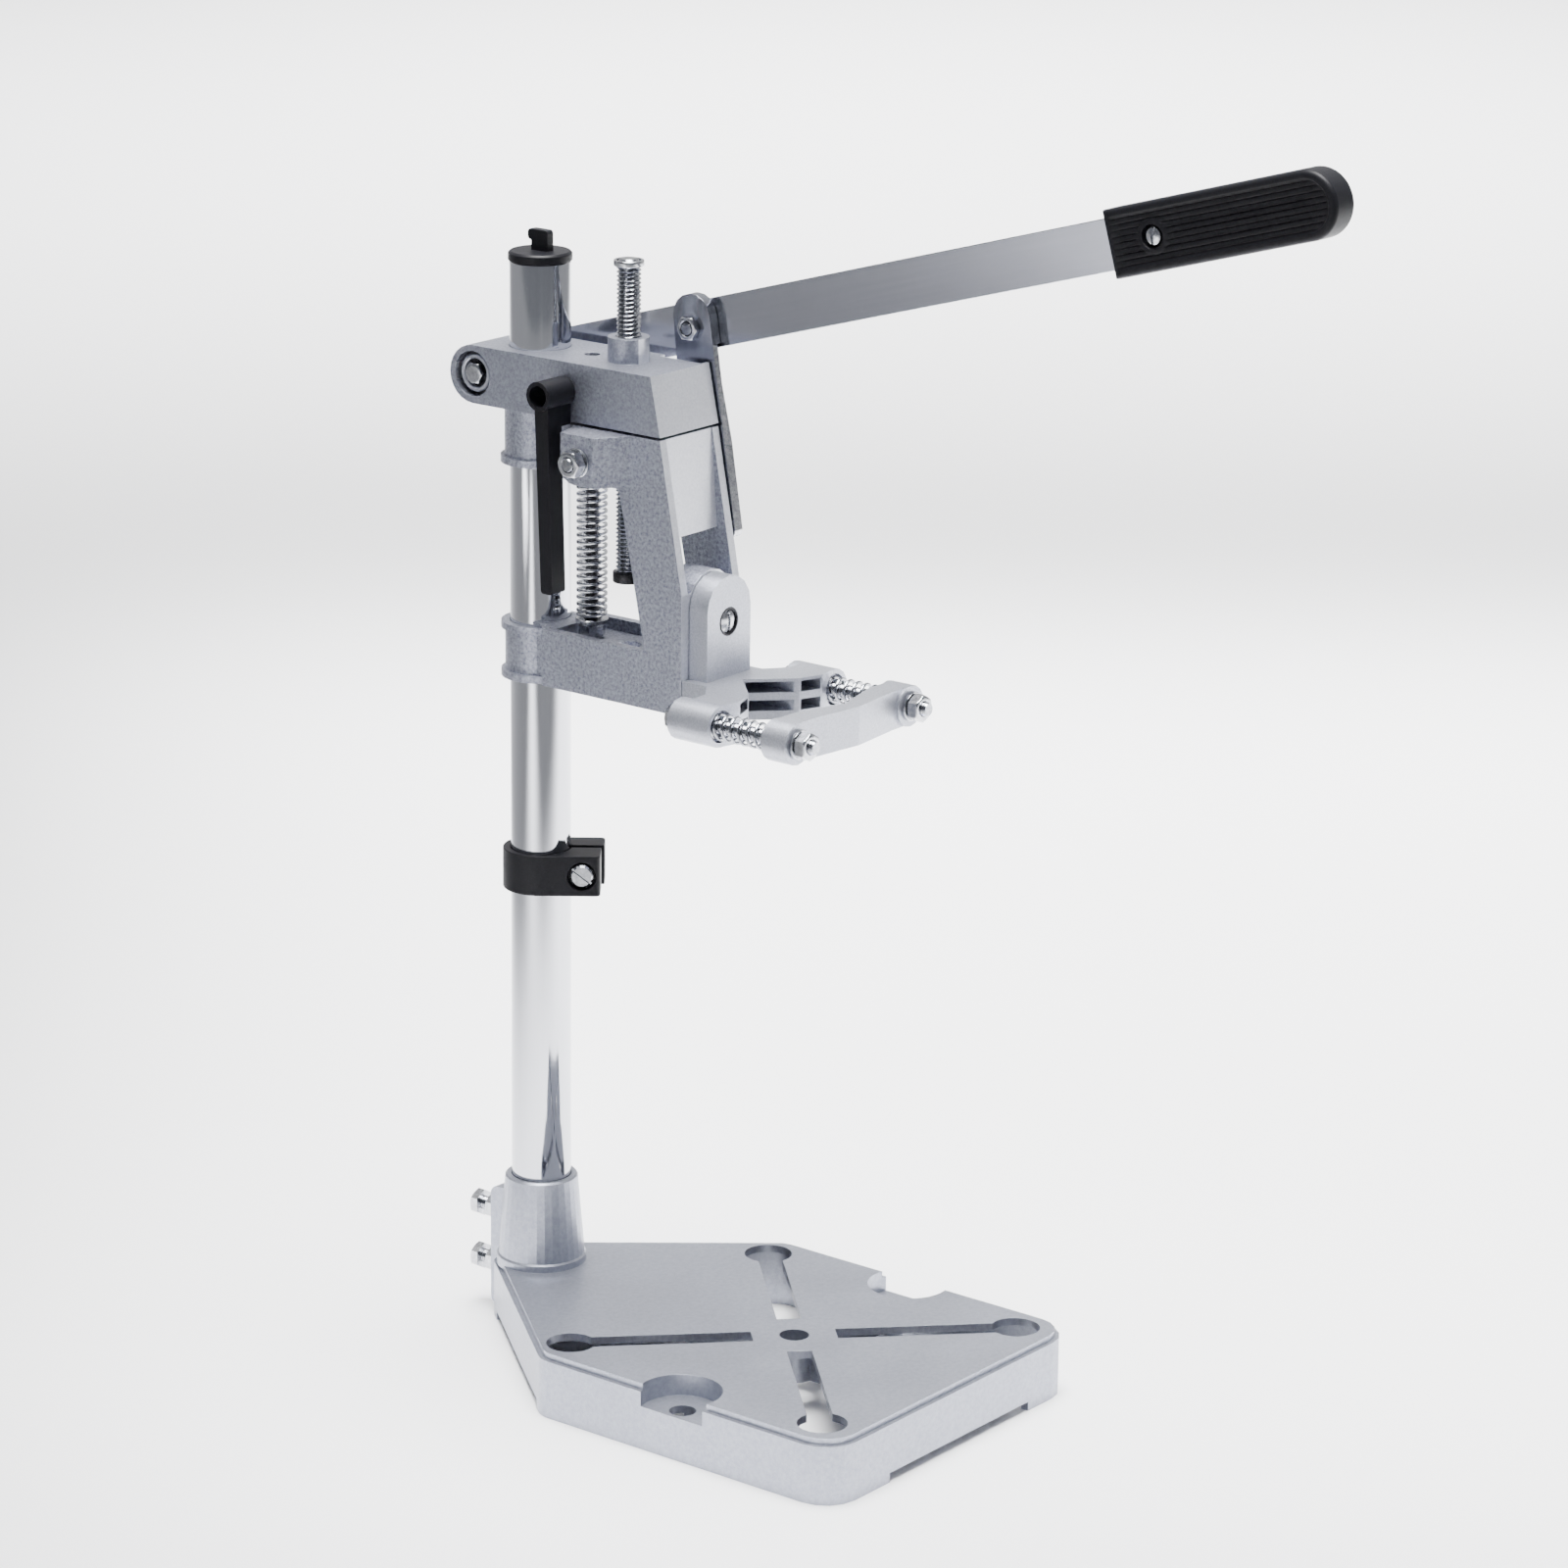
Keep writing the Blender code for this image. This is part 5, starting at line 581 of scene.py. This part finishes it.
def jaw_spring(side):
    """Spring on a jaw bolt, from the tool head forwards, drawn at its CAD length; the front jaw does
    not press it shorter.
    """
    radius, wire, curls, pressed_share = 4.9 * MM, 1.3 * MM, 8, 0.79
    node, name = "jaw_spring_" + side, "jaw_spring_wire_" + side
    start, along, length, _ = from_end(node, "Y", low_end=False)
    coil = spiral(name, start, along, length, radius, wire, curls, closed=1.0)
    spring = shown(name, [coil], [node], THREAD)
    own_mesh(spring)


chrome_column()
upright_rod("depth_rod_thread", "depth_rod", pitch=1.75 * MM, depth=0.6, look=THREAD)
upright_rod("spring_rod_thread", "spring_rod", pitch=1.0 * MM, depth=0.45, look=STEEL)
clip_ring("depth_stop_ring", DARK)
clip_ring("depth_top_ring", ZINC_AND_PAINTED_LIGHT)
return_spring()
for side in ("near", "far"):
    jaw_spring(side)


# Fasteners

NUT_BORE = 3.05 * MM
GRIP_NUT_BORE = 1.6 * MM
WASHER_BORE = 3.3 * MM
WASHER_EDGE = 0.25 * MM
BOLT_RADIUS = 3.0 * MM
BOLT_PITCH = 1.0 * MM
BOLT_HEAD = 4.0 * MM
BOLT_SINK = 0.3 * MM
PIVOT_BOLT_FLATS = 8.0 * MM
SLOTTED_PITCH = 0.7 * MM


def nut(node, axis, bore=NUT_BORE):
    """Hexagon nut in its node's box."""
    foot, length, width = span(node, axis)
    mesh = hexagon(node, width, foot, AXES[axis], length, bore, corner=corner_of(node, axis))
    shown(node + "_turned", [mesh], [node], ZINC_AND_PAINTED_LIGHT)


def washer(node, axis):
    """Flat ring with chamfered edges in its node's box: a lathe of its section."""
    foot, length, width = span(node, axis)
    edge = min(WASHER_EDGE, length / 4)
    profile = chamfered(WASHER_BORE, width / 2, 0, length, edge, edge / 2)
    mesh = turned(node, profile, foot, AXES[axis], columns=40)
    shown(node + "_turned", [mesh], [node], ZINC_AND_PAINTED_LIGHT)


def bolt(node, axis, low_end=False, flats=None):
    """Hex bolt along an axis: a chamfered bright head at its low or high end and a darker threaded
    shank, which starts a little inside the head."""
    start, along, length, width = from_end(node, axis, low_end)
    inner = BOLT_HEAD - BOLT_SINK
    head = hexagon(node + "_head", flats or width, start, along, BOLT_HEAD, chamfers=(1, 0),
                   corner=corner_of(node, axis))
    shank = threaded(node + "_shank", BOLT_RADIUS, BOLT_PITCH, start + along * inner, along,
                     length - inner)
    shank.polygons.foreach_set("material_index", np.ones(len(shank.polygons), np.int32))
    shown(node + "_turned", [head, shank], [node], ZINC_AND_PAINTED_LIGHT).data.materials.append(THREAD)


def slotted_face(name, start, along, rise, reach, slot):
    """Screw head: its face falls from the middle as h = 0.35 H (r / R)^2, and past the rim its side
    goes straight on to H. A slot of the given width is cut across the face to 0.62 H."""
    rows, columns = 22, 72
    past_rim, face_share, floor_share, wall = 1.35, 0.35, 0.62, 0.12 * MM
    out = np.linspace(0, 1, rows)[1:, None] * past_rim
    angle = np.arange(columns)[None] * TURN / columns
    radii = np.minimum(out, 1) * reach * np.ones_like(angle)
    side_fall = (out - 1) / (past_rim - 1) * rise * (1 - face_share)
    fall = np.where(out < 1, rise * face_share * out ** 2, rise * face_share + side_fall)
    beside = np.abs(radii * np.sin(angle))
    cut = rise * floor_share * np.clip((slot / 2 - beside) / wall + 0.5, 0, 1)
    return solid(name, round_axis(start, along, np.maximum(fall, cut), radii, angle))


def slotted_screw(node, axis, head, radius, head_radius, slot, inset=0.0):
    """Slotted screw with its head at the low end of the axis, sunk by the inset, over a threaded
    shank."""
    head_inside_share = 0.8
    foot, length, _ = span(node, axis)
    along = AXES[axis]
    start = foot + along * inset
    inner = head * head_inside_share
    meshes = [slotted_face(node + "_head", start, along, head, head_radius, slot),
              threaded(node + "_shank", radius, SLOTTED_PITCH, start + along * inner, along,
                       length - inset - inner)]
    shown(node + "_turned", meshes, [node], ZINC_AND_PAINTED_LIGHT)


for level in ("lower", "upper"):
    nut("lock_nut_" + level, "Y")
    bolt("set_screw_" + level, "Y")
nut("handle_pivot_nut", "X")
bolt("handle_pivot_bolt", "X", low_end=True, flats=PIVOT_BOLT_FLATS)
washer("handle_pivot_spacer", "X")
washer("handle_pivot_washer", "X")
nut("spring_nut", "Z")
washer("spring_washer", "Z")
nut("carriage_ear_nut", "X")
washer("carriage_ear_washer", "X")
bolt("carriage_ear_bolt", "X")
nut("link_bottom_nut", "X")
washer("link_bottom_spacer", "X")
nut("link_top_nut", "X")
washer("link_top_spacer", "X")
washer("link_top_washer", "X")
washer("tilt_washer", "Y")
nut("tilt_nut", "Y")
for side in ("near", "far"):
    bolt("jaw_bolt_" + side, "Y")
    washer("jaw_washer_" + side, "Y")
    nut("jaw_nut_" + side, "Y")
nut("grip_nut", "X", GRIP_NUT_BORE)
bolt("link_top_bolt", "X")
bolt("link_bottom_bolt", "X")


# Grips

GRIP_START, GRIP_END = 295.5 * MM, 399.5 * MM
GRIP_HALF_WIDTH = 13.3 * MM
GRIP_THICKNESS = 6.8 * MM
GRIP_EDGE = 2.2 * MM
GRIP_CORNER = 1.2 * MM
LIP_WIDTH, LIP_SLOPE, LIP_DEPTH = 3.0 * MM, 0.5 * MM, 0.35 * MM
GROOVE_PITCH, GROOVE_MARGIN, GROOVE_DEPTH = 2.3 * MM, 3.4 * MM, 0.5 * MM
GROOVE_WAVE, GROOVE_CUT = 1.4, 0.4
SMOOTH_RADIUS = 6.2 * MM
WELL_RADIUS, WELL_WALL, WELL_DEPTH = 4.7 * MM, 0.5 * MM, 2.9 * MM


def grip_plan(reach):
    """Grid of a grip's plan: u along it from the pivot, denser at the tail's corners, the screw and
    the nose, and v = w(u) s across it. The half width w is even, with small quarter rounds at the
    tail and the half-round nose sqrt(W^2 - (u - n)^2). The shares s crowd towards the sides."""
    tail_rows, screw_rows, body_rows, nose_rows, columns = 6, 45, 60, 40, 141
    screw_reach, nose_stop, crowding = 5.5 * MM, 0.995, 1.25
    nose = GRIP_END - GRIP_HALF_WIDTH
    quarter_turn = np.linspace(0, nose_stop, nose_rows) * math.pi / 2
    u = np.unique(np.concatenate([
        GRIP_START + GRIP_CORNER * np.linspace(0, 1, tail_rows) ** 2,
        reach + np.linspace(-1, 1, screw_rows) * screw_reach,
        np.linspace(GRIP_START + GRIP_CORNER, nose, body_rows),
        nose + GRIP_HALF_WIDTH * np.sin(quarter_turn)]))[:, None]
    tail = np.clip(GRIP_CORNER - (u - GRIP_START), 0, GRIP_CORNER)
    bow = np.sqrt(np.maximum(GRIP_HALF_WIDTH ** 2 - (u - nose) ** 2, 0))
    body = GRIP_HALF_WIDTH - GRIP_CORNER + np.sqrt(GRIP_CORNER ** 2 - tail ** 2)
    width = np.where(u > nose, bow, body)
    side = np.linspace(-1, 1, columns)
    v = width * np.sign(side) * (1 - (1 - np.abs(side)) ** crowding)
    return u, v, width


def grip_height(u, v, reach):
    """Height of a grip's top: h(u, v) = H - e(d) - l(d) - g(v) - w(r). Here e rounds the edge over
    the distance d to the outline, l sinks the panel inside a lip, g cuts even grooves along the
    panel and w is the screw's well, r from its middle. Round the well the panel stays plain."""
    nose = GRIP_END - GRIP_HALF_WIDTH
    inside = np.where(u > nose, GRIP_HALF_WIDTH - np.hypot(u - nose, v), GRIP_HALF_WIDTH - np.abs(v))
    inside = np.clip(np.minimum(inside, u - GRIP_START), 0, GRIP_HALF_WIDTH)
    short = np.clip(GRIP_EDGE - inside, 0, GRIP_EDGE)
    rounding = GRIP_EDGE - np.sqrt(GRIP_EDGE ** 2 - short ** 2)
    away = np.hypot(u - reach, v)
    panel = ramp(inside, LIP_WIDTH, LIP_SLOPE) * ramp(away, SMOOTH_RADIUS, MM)
    stripes = np.clip(GROOVE_WAVE * np.cos(v / GROOVE_PITCH * TURN) - GROOVE_CUT, 0, 1)
    groove = stripes * ramp(inside, GROOVE_MARGIN, MM) * ramp(away, SMOOTH_RADIUS, MM)
    well = ramp(-away, -WELL_RADIUS, WELL_WALL)
    return (GRIP_THICKNESS - rounding - LIP_DEPTH * panel - GROOVE_DEPTH * groove
            - WELL_DEPTH * well)


def grip(node, outward):
    """Half of the handle grip: its plan and height laid on the lever's side, closed by the flat
    face on the bar."""
    pivot, screw = centre("handle_pivot_bolt"), centre("grip_screw")
    along = unit((screw - pivot) * (0, 1, 1))
    aside = np.array([0, -along[2], along[1]])
    reach = float((screw - pivot) @ along)
    u, v, width = grip_plan(reach)
    foot = np.zeros_like(width)
    height = np.hstack([foot, grip_height(u, v, reach), foot])
    v = np.hstack([-width, v, width])
    start = pivot * (0, 1, 1) + AXES["X"] * centre("handle_bar")[0]
    rings = (start + u[..., None] * along + v[..., None] * aside
             + height[..., None] * AXES["X"] * outward)
    shown(node + "_moulded", [solid(node, rings)], [node], PLASTIC)


grip("grip_near", outward=-1)
grip("grip_far", outward=1)
slotted_screw("grip_screw", "X", head=2.2 * MM, radius=1.5 * MM, head_radius=3.4 * MM,
              slot=0.9 * MM, inset=1.6 * MM)
slotted_screw("tilt_bolt", "Y", head=2.6 * MM, radius=2.9 * MM, head_radius=4.8 * MM, slot=1.1 * MM)


# Rings in the recesses, two of them dark rings of painted shade, and the fasteners that keep their CAD
# meshes

def ring(name, node, around, axis, inner, outer, low, high, look, edge):
    """Loose ring about a bolt, from low to high along its axis: lathe of a chamfered rectangle."""
    place = centre(around) * (1 - AXES[axis])
    profile = chamfered(inner, outer, low, high, edge, edge)
    mesh = turned(name, profile, place, AXES[axis], columns=56)
    shown(name, [mesh], [node], look, extra=True)


def recess_rings():
    """Dark floor of painted shadow and a bright cast ring in the head's rear recess, and a dark ring of
    painted shade round the tilt bolt.
    """
    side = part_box("head_block")[0].x
    # Painted shadow: a thin dark disc where the recess floor lies in shade.
    ring("pivot_recess_painted_shadow", "head_block", "handle_pivot_bolt", "X", inner=4.0 * MM,
         outer=9.3 * MM, low=side + 4.3 * MM, high=side + 4.9 * MM, look=DARK, edge=0.1 * MM)
    ring("pivot_recess_ring", "head_block", "handle_pivot_bolt", "X", inner=5.9 * MM,
         outer=7.7 * MM, low=side + 1.6 * MM, high=side + 4.5 * MM, look=FINE_CAST, edge=0.5 * MM)
    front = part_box("tilt_bolt")[0].y
    # Painted shade: a thin dark sleeve in the gap round the tilt bolt's head.
    ring("tilt_recess_painted_shade", "tool_head", "tilt_bolt", "Y", inner=4.95 * MM,
         outer=5.85 * MM, low=front + 0.1 * MM, high=front + 2.7 * MM, look=DARK, edge=0.2 * MM)


recess_rings()
for node in ("stop_collar_screw", "stop_collar_nut", "clamp_stud"):
    for slot in NODES[node].material_slots:
        slot.material = ZINC_AND_PAINTED_LIGHT


# Room, lights and camera

CAMERA = (-1.6433, -1.4117, 0.8753)
YAW, PITCH, ROLL = math.radians(52.0), math.radians(16.4), math.radians(0.67)
LENS, SENSOR, FAR_END = 125.0, 36.0, 60.0
FLOOR_REACH = 12.0


def floor_look():
    """Matt pale floor with a faint tooth."""
    look = bpy.data.materials.new("pale_floor")
    look.use_nodes = True
    tree = look.node_tree
    shader = tree.nodes["Principled BSDF"]
    shader.inputs["Base Color"].default_value = (0.93, 0.93, 0.94, 1)
    shader.inputs["Roughness"].default_value = 0.9
    where = tree.nodes.new("ShaderNodeTexCoord")
    tooth = noise(tree, where.outputs["Object"], 60.0, detail=3.0)
    bumped(tree, shader, tooth, 0.1 * MM)
    return look


def floor():
    """Flat square floor under the stand."""
    mesh = bpy.data.meshes.new("studio_floor")
    corners = FLOOR_REACH * np.array([(-1, -1, 0), (1, -1, 0), (1, 1, 0), (-1, 1, 0)])
    mesh.from_pydata(corners.tolist(), [], [(0, 1, 2, 3)])
    mesh.materials.append(floor_look())
    sheet = bpy.data.objects.new("studio_floor", mesh)
    bpy.context.scene.collection.objects.link(sheet)
    return sheet


def from_camera(ahead, right, height):
    """Place at distances ahead and to the right of the camera's own spot on the floor."""
    return (CAMERA[0] + ahead * math.sin(YAW) + right * math.cos(YAW),
            CAMERA[1] + ahead * math.cos(YAW) - right * math.sin(YAW), height)


def soft_light(name, place, size, power, spread, turn=0.0):
    """Rectangular light looking straight down through a grid that narrows it to the spread. It is
    squared to the camera, then turned clockwise; both angles are in degrees."""
    lamp = bpy.data.lights.new(name, "AREA")
    lamp.shape = "RECTANGLE"
    lamp.size, lamp.size_y = size
    lamp.energy = power
    lamp.spread = math.radians(spread)
    light = bpy.data.objects.new(name, lamp)
    light.location = place
    light.rotation_euler = (0, 0, -YAW - math.radians(turn))
    bpy.context.scene.collection.objects.link(light)
    return light


def room_light():
    """Dim surroundings with one pale wall: low in the sky, past the stand from the camera."""
    wall_sine, wall_cosine, strength = 0.28, 0.96, 0.85
    dim_to, pale_from = 0.55, 0.86
    world = bpy.data.worlds.new("studio")
    bpy.context.scene.world = world
    world.use_nodes = True
    tree = world.node_tree
    where = tree.nodes.new("ShaderNodeTexCoord")
    facing = tree.nodes.new("ShaderNodeVectorMath")
    facing.operation = "DOT_PRODUCT"
    facing.inputs[1].default_value = (math.sin(YAW) * wall_cosine, math.cos(YAW) * wall_cosine,
                                      wall_sine)
    tree.links.new(where.outputs["Generated"], facing.inputs[0])
    colours = tree.nodes.new("ShaderNodeValToRGB")
    tree.links.new(stretched(tree, facing.outputs["Value"], -1, 1), colours.inputs[0])
    dim, pale = colours.color_ramp.elements
    dim.position = dim_to
    dim.color = (0.24, 0.25, 0.27, 1)
    pale.position = pale_from
    pale.color = (1, 1, 1, 1)
    tree.links.new(colours.outputs[0], tree.nodes["Background"].inputs["Color"])
    tree.nodes["Background"].inputs["Strength"].default_value = strength


def camera():
    """Camera of the photograph: yaw 52 degrees, pitch 16.4 down, rolled 0.67."""
    view = Vector((math.sin(YAW) * math.cos(PITCH), math.cos(YAW) * math.cos(PITCH), -math.sin(PITCH)))
    right = view.cross(Vector((0, 0, 1))).normalized()
    up = right.cross(view)
    rolled_right = math.cos(ROLL) * right + math.sin(ROLL) * up
    rolled_up = -math.sin(ROLL) * right + math.cos(ROLL) * up
    data = bpy.data.cameras.new("camera")
    data.lens = LENS
    data.sensor_width = SENSOR
    data.clip_end = FAR_END
    seen = bpy.data.objects.new("camera", data)
    seen.matrix_world = Matrix.Translation(CAMERA) @ Matrix(
        (rolled_right, rolled_up, -view)).transposed().to_4x4()
    bpy.context.scene.collection.objects.link(seen)
    bpy.context.scene.camera = seen


room_light()
floor()
soft_light("near_top", from_camera(ahead=2.53, right=1.0, height=0.88),
                    size=(2.8, 1.6), power=68, spread=52)
soft_light("far_top", from_camera(ahead=5.2, right=0.2, height=2.4),
                    size=(2.6, 2.8), power=150, spread=90)
soft_light("left_strip", from_camera(ahead=0.55, right=-1.08, height=0.8),
                    size=(0.32, 2.6), power=16, spread=50, turn=33.6)
soft_light("bar_pool", from_camera(ahead=0.70, right=-2.35, height=0.9),
                    size=(0.9, 0.8), power=24, spread=44)
soft_light("right_pool", from_camera(ahead=1.0, right=1.85, height=1.0),
                    size=(1.3, 1.0), power=26, spread=56)
camera()
